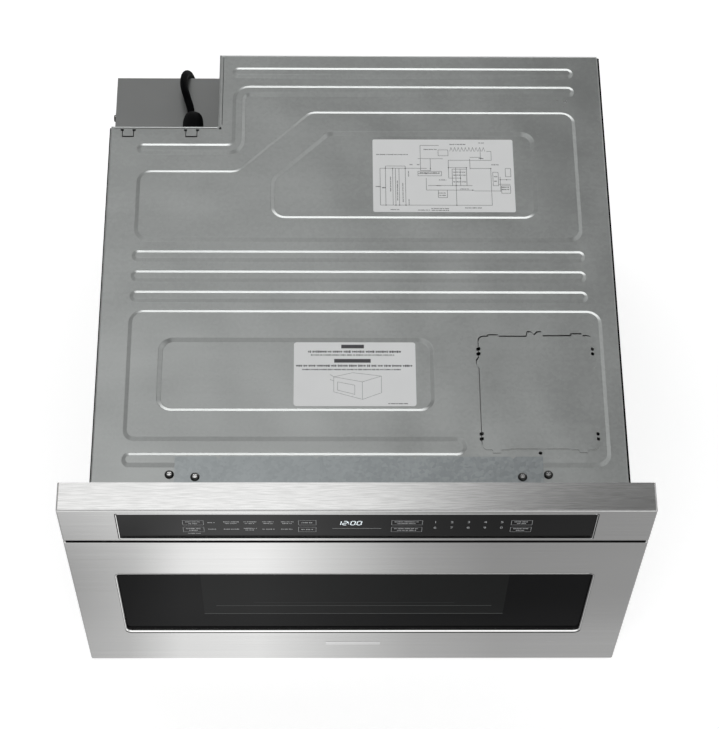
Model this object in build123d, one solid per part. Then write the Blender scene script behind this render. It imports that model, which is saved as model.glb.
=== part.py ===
from build123d import *
from math import acos, atan2, ceil, cos, hypot, pi, radians, sin, sqrt, tan
import os

# Built-in microwave drawer, 24-inch class. Lengths are in millimetres.
# X runs to the right, Y to the back and Z up. While it is modelled, Y = 0 is the
# front face; each part is then moved so that the origin is at the middle of the base.

# ---------------------------------------------------------------- driving sizes
# stainless front
front_width = 606.4
front_height = 394.0
front_lift = 1.5
front_depth = 32.3
front_sheet = 1.0
front_bend = 2.0
control_panel_height = 71.0
seam = 3.0
close_gap = 0.3

# galvanised cabinet
cabinet_margin = 27.2
cabinet_offset = 3.5
cabinet_drop = 20.5
cabinet_rear = 588.0
sheet = 0.8
base_sheet = 1.0
flange = 12.0

# front frame that is screwed into the cut-out
frame_sheet = 1.2
frame_margin = 5.2
frame_bottom = 6.0
mount_margin = 15.2
mount_spacing_z = 260.0
mount_middle_z = 170.0
mount_hole_r = 2.4

# recess for the mains lead, at the rear left
recess_width = 120.0
recess_length = 100.0
recess_drop = 44.0
relief_hole_r = 2.5

# oven cavity; its sides, top and rear keep their distance from the cabinet and the front
cavity_margin = 53.0
cavity_floor = 95.0
cavity_head = 41.5
cavity_rear_space = 122.5
cavity_flange = 10.0
cavity_corner = 6.0

# drawer and tray
travel = 380.0
basket_wall = 1.0
basket_side_gap = 9.0
basket_lift = 6.0
basket_head = 22.0
basket_rear_gap = 25.5
basket_lip = 7.0
tray_thickness = 4.0
tray_gap = 4.0

# glass in the drawer and in the control panel
window_margin = 47.4
window_bottom = 81.0
window_head = 79.5
window_corner = 7.0
window_recess = 3.6
window_glass_thickness = 4.0
glass_overlap = 6.0
glass_corner = 9.0
screen_margin = 136.2
screen_bottom = 131.0
screen_head = 84.0
screen_corner = 4.0
control_margin = 58.2
control_sill = 4.5
control_head = 6.0
control_corner = 2.5
control_recess = 1.9
control_glass_thickness = 3.2

# slides
slide_height = 45.0
slide_width = 12.7
slide_sheet = 1.2
slide_gap = 0.4
slide_lip = 1.5
slide_length = 450.0
slide_start = 50.0
slide_lead = 10.0
slide_middle_z = 72.0
rail_sheet = 2.0
rail_gap = 0.4
rail_foot = 20.0

# rack and pinion
gear_module = 1.25
pinion_teeth = 20
pressure_angle = 20.0
backlash = 0.3
root_gap = 0.1
centre_gap = 0.05
rack_width = 12.0
rack_body = 12.0
rack_spare = 56.0
pinion_y = 62.0
shaft_r = 3.0
running_gap = 0.05

# fasteners
screw_head_r = 4.15
screw_head_height = 2.4
screw_shank_r = 1.7
screw_length = 7.0
screw_hole_gap = 0.3

# mains lead
cord_diameter = 8.5
gland_inset = 87.0
gland_rise = 18.5
gland_r = 11.75
gland_length = 28.0
tie_thickness = 0.6
tie_gap = 0.2
tie_width = 6.0
coil_middle_r = 50.0
coil_pitch = 9.3
coil_layer = 9.1

badge_height = 0.8

# ---------------------------------------------------------------- derived planes
front_top = front_lift + front_height
control_base = front_top - control_panel_height
drawer_top = control_base - seam
drawer_rear = front_depth - close_gap
cabinet_front = front_depth + frame_sheet
cabinet_top = front_top - cabinet_drop
cabinet_width = front_width - 2 * cabinet_margin
cabinet_left = cabinet_offset - cabinet_width / 2
cabinet_right = cabinet_offset + cabinet_width / 2
mount_spacing_x = front_width - 2 * mount_margin
side_outer = cabinet_width / 2 - sheet
side_inner = side_outer - sheet
base_top = front_lift + base_sheet
deck = cabinet_top - sheet
recess_x = cabinet_left + recess_width
recess_y = cabinet_rear - recess_length
recess_floor = cabinet_top - recess_drop
half_cavity = cabinet_width / 2 - cavity_margin
cavity_top = drawer_top - cavity_head
cavity_rear = cabinet_rear - cavity_rear_space
cavity_roof = cavity_top + sheet
cavity_back = cavity_rear + sheet
overall_front = -badge_height
overall_rear = cabinet_rear + screw_head_height
middle_y = (overall_front + overall_rear) / 2
rail_face = side_inner - slide_width - rail_gap
mid = cabinet_offset
window_half = front_width / 2 - window_margin
window_z0 = front_lift + window_bottom
window_z1 = drawer_top - window_head
screen_half = front_width / 2 - screen_margin
screen_z0 = front_lift + screen_bottom
screen_z1 = drawer_top - screen_head
control_half = front_width / 2 - control_margin
control_z0 = control_base + control_sill
control_z1 = front_top - control_head
gland_x = cabinet_left + gland_inset
gland_z = recess_floor + gland_rise


# ---------------------------------------------------------------- helpers
def block(x0, x1, y0, y1, z0, z1):
    """Box between two corners."""
    centre = Pos((x0 + x1) / 2, (y0 + y1) / 2, (z0 + z1) / 2)
    return centre * Box(x1 - x0, y1 - y0, z1 - z0)


def area(a0, a1, b0, b1, r=0.0):
    """Flat rectangle between two corners, with rounded corners if r is given."""
    shape = RectangleRounded(a1 - a0, b1 - b0, r) if r > 0 else Rectangle(a1 - a0, b1 - b0)
    return Pos((a0 + a1) / 2, (b0 + b1) / 2) * shape


def front_plate(sketch, y0, y1):
    """Sketch in X and Z, as a plate from y0 to y1."""
    return Pos(0, y0, 0) * extrude(Plane.XZ * sketch, -(y1 - y0))


def side_plate(sketch, x0, x1):
    """Sketch in Y and Z, as a plate from x0 to x1."""
    return Pos(x0, 0, 0) * extrude(Plane.YZ * sketch, x1 - x0)


def flat_plate(sketch, z0, z1):
    """Sketch in X and Y, as a plate from z0 to z1."""
    return Pos(0, 0, z0) * extrude(sketch, z1 - z0)


def rod(radius, start, end):
    """Round bar between two points."""
    axis = Vector(*end) - Vector(*start)
    plane = Plane(origin=start, z_dir=axis)
    return extrude(plane * Circle(radius), axis.length)


def pad(sketch, z0, height):
    """Embossed pad with sloping sides, standing on z0."""
    return extrude(Pos(0, 0, z0) * sketch, height, taper=emboss_slope)


def dent(sketch, z1, depth):
    """The space of a recess with sloping sides, below z1."""
    return extrude(Pos(0, 0, z1) * sketch, amount=depth, dir=(0, 0, -1), taper=emboss_slope)


def bar(start, end, width):
    """Flat bar with round ends between two points of its edge-to-edge length."""
    length = hypot(end[0] - start[0], end[1] - start[1])
    angle = atan2(end[1] - start[1], end[0] - start[0]) * 180 / pi
    place = Pos((start[0] + end[0]) / 2, (start[1] + end[1]) / 2) * Rot(0, 0, angle)
    return place * SlotOverall(length, width)


def both_sides(part):
    """The part and its mirror image about the middle of the cabinet."""
    return [part, mirror(part, about=Plane.YZ.offset(mid))]


def save(name, *shapes):
    solids = [solid for shape in shapes for solid in shape.solids()]
    placed = Compound(solids).moved(Location((0, -middle_y, 0)))
    export_step(placed, f"parts/{name}.step")


def folded_front(x1, z0, z1, y1, thickness, bend):
    """Front panel folded from sheet: a face and four returns, open at the back."""

    def rounded(inset, back, r):
        shape = block(-x1 + inset, x1 - inset, inset, back, z0 + inset, z1 - inset)
        long_edges = shape.edges().filter_by(Axis.Y)
        shape = fillet(long_edges, r)
        return fillet(shape.faces().sort_by(Axis.Y)[0].edges(), r * 0.98)

    return rounded(0, y1, bend) - rounded(thickness, y1 + thickness, bend - thickness)


def opening_with_lip(panel, half_width, z0, z1, corner, recess):
    """Cut an opening in a folded front and turn its edge inwards as a lip."""
    hole = area(-half_width, half_width, z0, z1, corner)
    lip = front_sheet
    around = area(-half_width - lip, half_width + lip, z0 - lip, z1 + lip, corner + lip)
    collar = front_plate(around - hole, front_sheet, recess)
    return panel - front_plate(hole, -lip, recess) + collar


os.makedirs("parts", exist_ok=True)

# ---------------------------------------------------------------- cabinet shell
runner_x = 205.0
runner_width = 40.0
runner_margin = 30.0
intake_slot_length = 60.0
intake_slot_width = 5.0
intake_pitch = 12.0
intake_rows = 6
intake_x = 110.0


def base_plate():
    """Floor of the cabinet, with two runners pressed down on which it stands."""
    inside = area(mid - side_outer, mid + side_outer, cabinet_front, cabinet_rear)
    plate = flat_plate(inside, front_lift, base_top)
    y0 = cabinet_front + runner_margin
    y1 = cabinet_rear - runner_margin
    t = base_sheet
    for side in (-1, 1):
        x0 = mid + side * runner_x - runner_width / 2
        x1 = x0 + runner_width
        plate += block(x0, x1, y0, y1, 0, base_top)
        plate -= block(x0 + t, x1 - t, y0 + t, y1 - t, t, base_top + 1)
    for row in range(intake_rows):
        y = cabinet_rear - runner_margin - intake_pitch * (row + 1)
        slot = Pos(mid + intake_x, y) * SlotOverall(intake_slot_length, intake_slot_width)
        plate -= flat_plate(slot, front_lift - 1, base_top + 1)
    return plate


def side_panel_left():
    """Left wall, cut down beside the recess."""
    outline = area(cabinet_front, cabinet_rear - sheet, base_top, deck)
    outline -= area(recess_y, cabinet_rear, recess_floor - sheet, cabinet_top)
    return side_plate(outline, mid - side_outer, mid - side_inner) - side_screw_holes


def side_panel_right():
    """Right wall."""
    outline = area(cabinet_front, cabinet_rear - sheet, base_top, deck)
    return side_plate(outline, mid + side_inner, mid + side_outer) - side_screw_holes


# embossing of the top: ribs and raised fields, placed from the cabinet's edges
emboss = 2.5
emboss_slope = 45.0
raised = cabinet_top + emboss
field_corner = 15.0
field_left = cabinet_left + 31.7
field_right = cabinet_right - 30.5
rib_width = 13.0
rib_pitch = 25.65
rib_gap = 11.2
rear_rib_margin = 31.7
rear_rib_inset = 15.8
step_rib_margin = 57.2
step_rib_inset = 16.7
step_rib_lead = 37.5

# rear field with its recessed middle, cut off at 45 degrees beside the cord recess
rear_field_left = cabinet_left + 32.9
rear_field_right = cabinet_right - 31.5
rear_field_front = cabinet_rear - 252.6
rear_field_rear = cabinet_rear - 80.0
rear_field_cut = (recess_x + 22.5, recess_y - 60.5)
rear_recess_left = recess_x + 61.2
rear_recess_right = rear_field_right - 47.6
rear_recess_front = rear_field_front + 29.2
rear_recess_rear = rear_field_rear - 28.8
rear_recess_cut_y = recess_y - 71.5

# front field with its recessed middle and a channel along its front
front_field_right = cabinet_right - 17.5
front_field_front = cabinet_front + 27.0
front_field_rear = cabinet_front + 213.6
front_recess_left = field_left + 33.3
front_recess_right = cabinet_right - 198.2
front_recess_front = cabinet_front + 91.5
front_recess_rear = cabinet_front + 178.2
channel_width = 15.0
channel_y = cabinet_front + 49.8
channel_end = cabinet_right - 168.7


def top_outline():
    full = area(cabinet_left, cabinet_right, cabinet_front, cabinet_rear)
    notch = area(cabinet_left, recess_x, recess_y, cabinet_rear)
    return full - notch


def rear_field():
    cut_x, cut_y = rear_field_cut
    corners = [
        (rear_field_left, rear_field_front),
        (rear_field_right, rear_field_front),
        (rear_field_right, rear_field_rear),
        (cut_x + rear_field_rear - cut_y, rear_field_rear),
        (cut_x, cut_y),
        (rear_field_left, cut_y),
    ]
    return make_face(FilletPolyline(*corners, radius=field_corner, close=True))


def rear_recess():
    cut = rear_recess_rear - rear_recess_cut_y
    corners = [
        (rear_recess_left, rear_recess_front),
        (rear_recess_right, rear_recess_front),
        (rear_recess_right, rear_recess_rear),
        (rear_recess_left + cut, rear_recess_rear),
        (rear_recess_left, rear_recess_cut_y),
    ]
    return make_face(FilletPolyline(*corners, radius=field_corner, close=True))


def front_field():
    outline = area(field_left, front_field_right, front_field_front, front_field_rear, field_corner)
    start = (cabinet_left - channel_width, channel_y)
    return outline - bar(start, (channel_end, channel_y), channel_width)


def front_recess():
    sides = (front_recess_left, front_recess_right, front_recess_front, front_recess_rear)
    return area(*sides, field_corner)


def top_ribs():
    """Narrow ribs as flat bars with round ends: rows between the fields, and two at the rear."""
    half = rib_width / 2
    bars = []
    y = front_field_rear + rib_gap
    while y + rib_width < rear_field_front:
        bars.append(bar((field_left, y + half), (field_right, y + half), rib_width))
        y += rib_pitch
    y = cabinet_rear - rear_rib_margin + half
    bars.append(bar((recess_x + rear_rib_inset, y), (field_right, y), rib_width))
    left = recess_x + step_rib_inset
    y = cabinet_rear - step_rib_margin + half
    foot_y = recess_y - step_rib_lead + half
    step = bar((left, y), (field_right, y), rib_width)
    leg = bar((left + half, foot_y - half), (left + half, y + half), rib_width)
    foot = bar((field_left, foot_y), (left + rib_width, foot_y), rib_width)
    bars.append(step + leg + foot)
    return bars


# punched features of the top
hook_slot_x = (cabinet_left + 19.8, recess_x - 29.4)
hook_slot_y = recess_y - 9.5
hook_slot_size = (13.8, 11.0)
hook_slot_cut = 1.2
cover_x0, cover_x1 = cabinet_right - 149.5, cabinet_right - 29.0
cover_y0, cover_y1 = cabinet_front + 46.5, cabinet_front + 184.0
cover_edge = 2.0
cover_corner = 8.0
cover_hole_r = 1.5
cover_hole_rows = (cover_y1 - 16.5, cover_y1 - 22.5, cover_y0 + 20.0, cover_y0 + 14.0)
sight_hole = (cover_x1 - 61.7, cover_y0 - 3.0)
sight_hole_r = 1.8
tab_x = (cover_x0 + 15.0, cover_x1 - 16.5)
tab_width = 11.0
tab_root = 4.0
tab_front, tab_rear = 3.5, 2.5
middle_tab_x = cover_x1 - 61.0
middle_tab_width = 17.0
middle_tab_rear = 5.0


def hook_slots():
    """U-shaped cuts around the two small tongues beside the recess."""
    width, length = hook_slot_size
    cuts = []
    for x in hook_slot_x:
        outer = Pos(x, hook_slot_y) * Rectangle(width, length)
        shift = hook_slot_cut
        inner = Pos(x, hook_slot_y + shift) * Rectangle(width - 2 * shift, length)
        cuts.append(flat_plate(outer - inner, deck - 1, raised + 1))
    return cuts


def top_cover():
    """Pressed top sheet: raised ribs and fields, a notch, and flanges turned down."""
    upper = flat_plate(top_outline(), cabinet_top - 2 * emboss, cabinet_top)
    upper += pad(rear_field(), cabinet_top, emboss)
    upper += pad(front_field(), cabinet_top, emboss)
    for rib in top_ribs():
        upper += pad(rib, cabinet_top, emboss)
    upper -= dent(rear_recess(), raised, emboss)
    upper -= dent(front_recess(), raised, emboss)
    skin = upper - Pos(0, 0, -sheet) * upper
    z0, z1 = cabinet_top - flange, cabinet_top
    skin += block(cabinet_left, cabinet_left + sheet, cabinet_front, recess_y, z0, z1)
    skin += block(cabinet_right - sheet, cabinet_right, cabinet_front, cabinet_rear, z0, z1)
    for cut in hook_slots():
        skin -= cut
    relief = Pos(recess_x, recess_y) * Circle(relief_hole_r)
    skin -= flat_plate(relief, deck - 1, raised)
    for x in (cover_x0, cover_x1):
        for y in cover_hole_rows:
            skin -= flat_plate(Pos(x, y) * Circle(cover_hole_r), deck, raised + 1)
    skin -= flat_plate(Pos(*sight_hole) * Circle(sight_hole_r), deck, raised + 1)
    return skin - top_screw_holes


def access_cover():
    """Loose plate over the lamp, with tabs on its edges."""
    outline = area(cover_x0 + cover_edge, cover_x1 - cover_edge, cover_y0, cover_y1, cover_corner)
    half = tab_width / 2
    for x in tab_x:
        outline += area(x - half, x + half, cover_y1 - tab_root, cover_y1 + tab_rear)
        outline += area(x - half, x + half, cover_y0 - tab_front, cover_y0 + tab_root)
    half = middle_tab_width / 2
    x = middle_tab_x
    outline += area(x - half, x + half, cover_y1 - tab_root, cover_y1 + middle_tab_rear)
    return flat_plate(outline, raised, raised + sheet)


gland_neck_r = 8.0
gland_hole_gap = 0.3


def cord_recess_pan():
    """Folded pan that makes the floor and two walls of the recess."""
    floor_z = recess_floor - sheet
    pan = block(cabinet_left, recess_x, recess_y, cabinet_rear, floor_z, recess_floor)
    pan += block(mid - side_inner, recess_x + sheet, recess_y - sheet, recess_y, floor_z, deck)
    pan += block(recess_x, recess_x + sheet, recess_y, cabinet_rear - sheet, floor_z, deck)
    side_z = recess_floor - flange
    left_wall = cabinet_left + sheet
    pan += block(cabinet_left, left_wall, recess_y, cabinet_rear, side_z, recess_floor)
    hole = Pos(gland_x, gland_z) * Circle(gland_neck_r + gland_hole_gap)
    return pan - front_plate(hole, recess_y - 1 - sheet, recess_y + 1) - side_screw_holes


vent_slot_length = 34.0
vent_slot_width = 5.0
vent_pitch_z = 11.0
vent_pitch_x = 42.0
vent_rows = 8
vent_columns = 4
fan_x = cabinet_right - 67.5
fan_z = 200.0
vent_left_x = mid - 88.5


def vent_field(x0, columns):
    """Rows of cooling slots in the rear panel."""
    field = []
    for column in range(columns):
        for row in range(vent_rows):
            x = x0 + (column - (columns - 1) / 2) * vent_pitch_x
            z = fan_z + (row - (vent_rows - 1) / 2) * vent_pitch_z
            field.append(Pos(x, z) * SlotOverall(vent_slot_length, vent_slot_width))
    return field


def rear_panel():
    """Back wall, cut down below the recess, with the cooling slots."""
    outline = area(mid - side_outer, mid + side_outer, base_top, deck)
    outline -= area(cabinet_left, recess_x + sheet, recess_floor - sheet, cabinet_top)
    outline += area(recess_x, recess_x + sheet, recess_floor - sheet, deck)
    for slot in vent_field(fan_x, vent_columns - 1) + vent_field(vent_left_x, vent_columns):
        outline -= slot
    return front_plate(outline, cabinet_rear - sheet, cabinet_rear) - rear_screw_holes


# ---------------------------------------------------------------- screws
bracket_left = cabinet_left + 85.8
bracket_right = cabinet_right - 87.8
bracket_rear = cabinet_front + 36.8
bracket_sheet = 1.5
bracket_screw_x = (bracket_left + 21.3, bracket_right - 22.1)
bracket_screw_y = cabinet_front + 13.3
top_screw_x = (bracket_left - 5.3, bracket_right + 5.0)
top_screw_y = cabinet_front + 17.9
side_screw_y = (cabinet_front + 26.5, 300.0, cabinet_rear - 48.0)
side_screw_z = 20.0
flange_screw_y = cabinet_rear - 53.0
flange_screw_z = recess_floor - flange / 2
rear_screw_margin = 32.5
rear_screw_x = (cabinet_left + rear_screw_margin, mid, cabinet_right - rear_screw_margin)
rear_screw_low = 40.0
rear_screw_high = (recess_floor - 31.0, cabinet_top - 25.0, cabinet_top - 25.0)
screw_slot = (4.4, 1.0, 0.9)
hole_reach = 6.0


def screw(seat, direction, length=screw_length):
    """Pan-head screw whose head sits on seat; direction points out of the sheet."""
    out = Vector(*direction)
    spot = Vector(*seat)
    plane = Plane(origin=spot, z_dir=out)
    head = extrude(plane * Circle(screw_head_r), screw_head_height)
    head = fillet(head.faces().sort_by(Axis(spot, out))[-1].edges(), screw_head_height * 0.6)
    length_of_slot, width_of_slot, depth_of_slot = screw_slot
    top = plane.offset(screw_head_height)
    slot = top * Box(length_of_slot, width_of_slot, 2 * depth_of_slot)
    cross = top * Box(width_of_slot, length_of_slot, 2 * depth_of_slot)
    shank = extrude(plane * Circle(screw_shank_r), -length)
    return head - slot - cross + shank


def screw_hole(seat, direction):
    plane = Plane(origin=seat, z_dir=direction)
    return extrude(plane * Circle(screw_shank_r + screw_hole_gap), hole_reach, both=True)


top_seats = [((x, top_screw_y, cabinet_top), (0, 0, 1)) for x in top_screw_x]
bracket_top = raised + bracket_sheet
bracket_seats = [((x, bracket_screw_y, bracket_top), (0, 0, 1)) for x in bracket_screw_x]
side_seats = []
for side in (-1, 1):
    x = mid + side * side_outer
    side_seats += [((x, y, side_screw_z), (side, 0, 0)) for y in side_screw_y]
side_seats.append(((cabinet_left, flange_screw_y, flange_screw_z), (-1, 0, 0)))
side_seats.append(((mid + side_outer, flange_screw_y, flange_screw_z), (1, 0, 0)))
rear_seats = [((x, cabinet_rear, rear_screw_low), (0, 1, 0)) for x in rear_screw_x]
rear_seats += [((x, cabinet_rear, z), (0, 1, 0)) for x, z in zip(rear_screw_x, rear_screw_high)]

top_screw_holes = [screw_hole(seat, out) for seat, out in top_seats + bracket_seats]
side_screw_holes = [screw_hole(seat, out) for seat, out in side_seats]
rear_screw_holes = [screw_hole(seat, out) for seat, out in rear_seats]


def case_screws():
    seats = top_seats + bracket_seats + side_seats + rear_seats
    return [screw(seat, out) for seat, out in seats]


# ---------------------------------------------------------------- front frame
rail_window_inner = side_inner - 36.4
rail_window_outer = side_inner + 1.6
rail_window_z = (36.0, 99.0)
frame_corner = 3.0
switch_x = half_cavity + 25.0
switch_z = 173.0
striker_width = 6.0
striker_height = 6.0
striker_clearance = 2.0


def front_frame():
    """Frame behind the front: cavity mouth, rail windows and the four fixing holes."""
    half = front_width / 2 - frame_margin
    outline = area(-half, half, frame_bottom, cabinet_top, frame_corner)
    x0, x1 = mid - half_cavity, mid + half_cavity
    outline -= area(x0, x1, cavity_floor, cavity_top, cavity_corner)
    z0, z1 = rail_window_z
    for side in (-1, 1):
        a, b = sorted((mid + side * rail_window_inner, mid + side * rail_window_outer))
        outline -= area(a, b, z0, z1, frame_corner)
        for end in (-1, 1):
            x = side * mount_spacing_x / 2
            z = mount_middle_z + end * mount_spacing_z / 2
            outline -= Pos(x, z) * Circle(mount_hole_r)
    half_slot = striker_width / 2 + striker_clearance
    rise = striker_height / 2 + striker_clearance
    x = mid - switch_x
    outline -= area(x - half_slot, x + half_slot, switch_z - rise, switch_z + rise, 1.0)
    return front_plate(outline, front_depth, cabinet_front)


bracket_upright = 14.0
bracket_notch = 4.0
notch_start = 44.7
notch_pitch = 101.0
notch_end = 20.0


def control_support_bracket():
    """Folded bracket that ties the control panel to the top of the cabinet."""
    outline = area(bracket_left, bracket_right, front_depth, bracket_rear)
    x = bracket_left + notch_start
    while x < bracket_right - notch_end:
        outline -= Pos(x, bracket_rear) * Rot(0, 0, 45) * Rectangle(bracket_notch, bracket_notch)
        x += notch_pitch
    plate = flat_plate(outline, raised, bracket_top)
    y1 = front_depth + bracket_sheet
    z1 = bracket_top + bracket_upright
    plate += block(bracket_left, bracket_right, front_depth, y1, bracket_top, z1)
    return plate - top_screw_holes


# ---------------------------------------------------------------- oven cavity
stirrer_y = (cabinet_front + cavity_rear) / 2
stirrer_shaft_r = 2.5
stirrer_hole_gap = 1.5
stirrer_cover_r = 112.0
stirrer_cover_drop = 16.0
stirrer_cover_wall = 1.5
guide_x0, guide_x1 = fan_x - 152.0, fan_x - 56.0
guide_z0, guide_z1 = cavity_top - 130.0, cavity_top - 20.0
guide_depth = 42.0
guide_wall = 1.0
guide_mouth = 30.0
guide_rim = 8.0
lamp_x, lamp_y = (cover_x0 + cover_x1) / 2, (cover_y0 + cover_y1) / 2
lamp_hole_r = 14.0


def oven_cavity():
    """Welded cooking box, open at the front, with a flange on the front frame."""
    x0, x1 = mid - half_cavity, mid + half_cavity
    under = cavity_floor - sheet
    outer = block(x0 - sheet, x1 + sheet, cabinet_front, cavity_back, under, cavity_roof)
    inner = block(x0, x1, cabinet_front - 1, cavity_rear, cavity_floor, cavity_top)
    edge = sheet + cavity_flange
    rim = area(x0 - edge, x1 + edge, cavity_floor - edge, cavity_top + edge)
    rim -= area(x0, x1, cavity_floor, cavity_top)
    box = outer - inner + front_plate(rim, cabinet_front, cabinet_front + sheet)
    z0, z1 = cavity_top - 1, cavity_roof + 1
    box -= rod(stirrer_shaft_r + stirrer_hole_gap, (mid, stirrer_y, z0), (mid, stirrer_y, z1))
    box -= rod(lamp_hole_r, (lamp_x, lamp_y, z0), (lamp_x, lamp_y, z1))
    z0 = guide_z0 + guide_rim
    mouth = area(guide_x0 + guide_rim, guide_x1 - guide_rim, z0, z0 + guide_mouth)
    return box - front_plate(mouth, cavity_rear - 1, cavity_back + 1)


support_x = 150.0
support_width = 30.0
support_y0, support_y1 = cavity_rear - 165.5, cavity_rear - 25.5
support_sheet = 1.5


def cavity_supports():
    """Two folded legs between the base and the cavity."""
    legs = []
    top = cavity_floor - sheet
    t = support_sheet
    for side in (-1, 1):
        x0 = mid + side * support_x - support_width / 2
        x1 = x0 + support_width
        leg = block(x0, x1, support_y0, support_y1, base_top, top)
        leg -= block(x0 + t, x1 + t, support_y0 - t, support_y1 + t, base_top + t, top - t)
        legs.append(leg)
    return legs


def stirrer_cover():
    """Shallow dish that closes the stirrer off from the food."""
    z0 = cavity_top - stirrer_cover_drop
    dish = rod(stirrer_cover_r, (mid, stirrer_y, z0), (mid, stirrer_y, cavity_top))
    inner_r = stirrer_cover_r - stirrer_cover_wall
    floor = z0 + stirrer_cover_wall
    return dish - rod(inner_r, (mid, stirrer_y, floor), (mid, stirrer_y, cavity_top + 1))


stirrer_motor_r = 24.0
stirrer_motor_height = 20.0
stirrer_ear_reach = 11.0
stirrer_ear_width = 12.0
stirrer_ear_sheet = 1.5
stirrer_bore_depth = 12.0
stirrer_z = cavity_top - 8.0
stirrer_hub_r = 8.0
stirrer_hub_half = 4.0
stirrer_blade_r = 85.0
stirrer_blade_width = 34.0
stirrer_blade_sheet = 1.0
stirrer_blades = 3


def stirrer_motor():
    """Small synchronous motor on the roof of the cavity."""
    centre = (mid, stirrer_y, cavity_roof)
    top = (mid, stirrer_y, cavity_roof + stirrer_motor_height)
    ears = SlotOverall(2 * (stirrer_motor_r + stirrer_ear_reach), stirrer_ear_width)
    body = rod(stirrer_motor_r, centre, top)
    body += flat_plate(Pos(mid, stirrer_y) * ears, cavity_roof, cavity_roof + stirrer_ear_sheet)
    bore = (mid, stirrer_y, cavity_roof + stirrer_bore_depth)
    return body - rod(stirrer_shaft_r + running_gap, (mid, stirrer_y, cavity_roof - 1), bore)


def stirrer_fan():
    """Metal blades that scatter the microwaves, on their shaft."""
    z, h = stirrer_z, stirrer_hub_half
    fan = rod(stirrer_hub_r, (mid, stirrer_y, z - h), (mid, stirrer_y, z + h))
    half, t = stirrer_blade_width / 2, stirrer_blade_sheet / 2
    blade = block(0, stirrer_blade_r, -half, half, z - t, z + t)
    for number in range(stirrer_blades):
        fan += Pos(mid, stirrer_y) * Rot(0, 0, number * 360 / stirrer_blades) * blade
    shaft_top = cavity_roof + stirrer_bore_depth - 1
    return fan + rod(stirrer_shaft_r, (mid, stirrer_y, z), (mid, stirrer_y, shaft_top))


lamp_box = 44.0
lamp_wall = 1.0
lamp_height = 34.0
lamp_bulb_r = 11.0
lamp_socket_r = 5.0
lamp_socket_length = 10.0
lamp_bulb_drop = 18.0


def oven_lamp():
    """Lamp housing on the cavity roof, with the bulb held inside its top."""
    half, w = lamp_box / 2, lamp_wall
    top = cavity_roof + lamp_height
    box = Pos(lamp_x, lamp_y) * block(-half, half, -half, half, cavity_roof, top)
    half -= w
    space = Pos(lamp_x, lamp_y) * block(-half, half, -half, half, cavity_roof - w, top - w)
    start = (lamp_x, lamp_y, top - lamp_socket_length)
    bulb = rod(lamp_socket_r, start, (lamp_x, lamp_y, top - w))
    bulb += Pos(lamp_x, lamp_y, top - lamp_bulb_drop) * Sphere(lamp_bulb_r)
    return box - space, bulb


def waveguide():
    """Rectangular duct from the magnetron to the rear wall of the cavity."""
    y1 = cavity_back + guide_depth
    w = guide_wall
    duct = block(guide_x0, guide_x1, cavity_back, y1, guide_z0, guide_z1)
    duct -= block(guide_x0 + w, guide_x1 - w, cavity_back - w, y1 - w, guide_z0 + w, guide_z1 - w)
    start = (magnetron_x, y1 - 3 * w, magnetron_z)
    return duct - rod(antenna_hole_r, start, (magnetron_x, y1 + w, magnetron_z))


magnetron_x = (guide_x0 + guide_x1) / 2
magnetron_z = guide_z1 - 34.0
antenna_r = 7.5
antenna_length = 24.0
antenna_hole_r = 15.0
magnetron_width = 84.0
magnetron_height = 66.0
magnetron_depth = 62.0
magnetron_wall = 2.0
anode_r = 19.0
magnetron_fins = 7
fin_sheet = 0.8
fin_margin = 8.0
fin_drop = 4.0


def magnetron():
    """Magnetron: bracket plates, cooling fins, anode and antenna."""
    y0 = cavity_back + guide_depth
    y1 = y0 + magnetron_depth
    x0, x1 = magnetron_x - magnetron_width / 2, magnetron_x + magnetron_width / 2
    z0, z1 = magnetron_z - magnetron_height / 2, magnetron_z + magnetron_height / 2
    w, t = magnetron_wall, fin_sheet / 2
    body = block(x0, x1, y0, y1, z0, z1) - block(x0 + w, x1 - w, y0 + w, y1 - w, z0 - 1, z1 + 1)
    body += rod(anode_r, (magnetron_x, y0 + t, magnetron_z), (magnetron_x, y1 - t, magnetron_z))
    tip = (magnetron_x, y0 - antenna_length, magnetron_z)
    body += rod(antenna_r, tip, (magnetron_x, y0 + w, magnetron_z))
    fin_step = (magnetron_depth - 2 * fin_margin) / (magnetron_fins - 1)
    for number in range(magnetron_fins):
        y = y0 + fin_margin + number * fin_step
        body += block(x0 + t, x1 - t, y - t, y + t, z0 + fin_drop, z1 - fin_drop)
    return body


transformer_x, transformer_y = mid - 63.5, cabinet_rear - 68.0
transformer_foot = (124.0, 70.0, 2.0)
transformer_core = (100.0, 44.0, 80.0)
core_window = (18.0, 44.0)
core_leg = 16.0
core_sill = 18.0
winding_size = (68.0, 72.0, 20.0)
winding_gap = 1.0


def hv_transformer():
    """Laminated core with its two windings on a foot plate."""
    place = Pos(transformer_x, transformer_y, base_top)
    upright = (Align.CENTER, Align.CENTER, Align.MIN)
    foot = Box(*transformer_foot, align=upright)
    width, depth, height = transformer_core
    lift = transformer_foot[2]
    core = Pos(0, 0, lift) * Box(width, depth, height, align=upright)
    opening_width, opening_height = core_window
    z = lift + core_sill
    for side in (-1, 1):
        x = side * (core_leg + opening_width / 2)
        core -= Pos(x, 0, z) * Box(opening_width, 2 * depth, opening_height, align=upright)
    windings = Pos(0, 0, z + winding_gap) * Box(*winding_size, align=upright)
    windings += Pos(0, 0, z + 3 * winding_gap + winding_size[2]) * Box(*winding_size, align=upright)
    leg = Box(2 * core_leg, depth, 2 * height, align=upright)
    return place * (foot + core + (windings - leg))


capacitor_x, capacitor_y = mid + 56.5, cabinet_rear - 68.0
capacitor_size = (54.0, 34.0, 92.0)
capacitor_foot = (74.0, 14.0, 1.5)
terminal_spacing = 24.0
terminal_r = 4.0
terminal_height = 8.0


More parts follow.
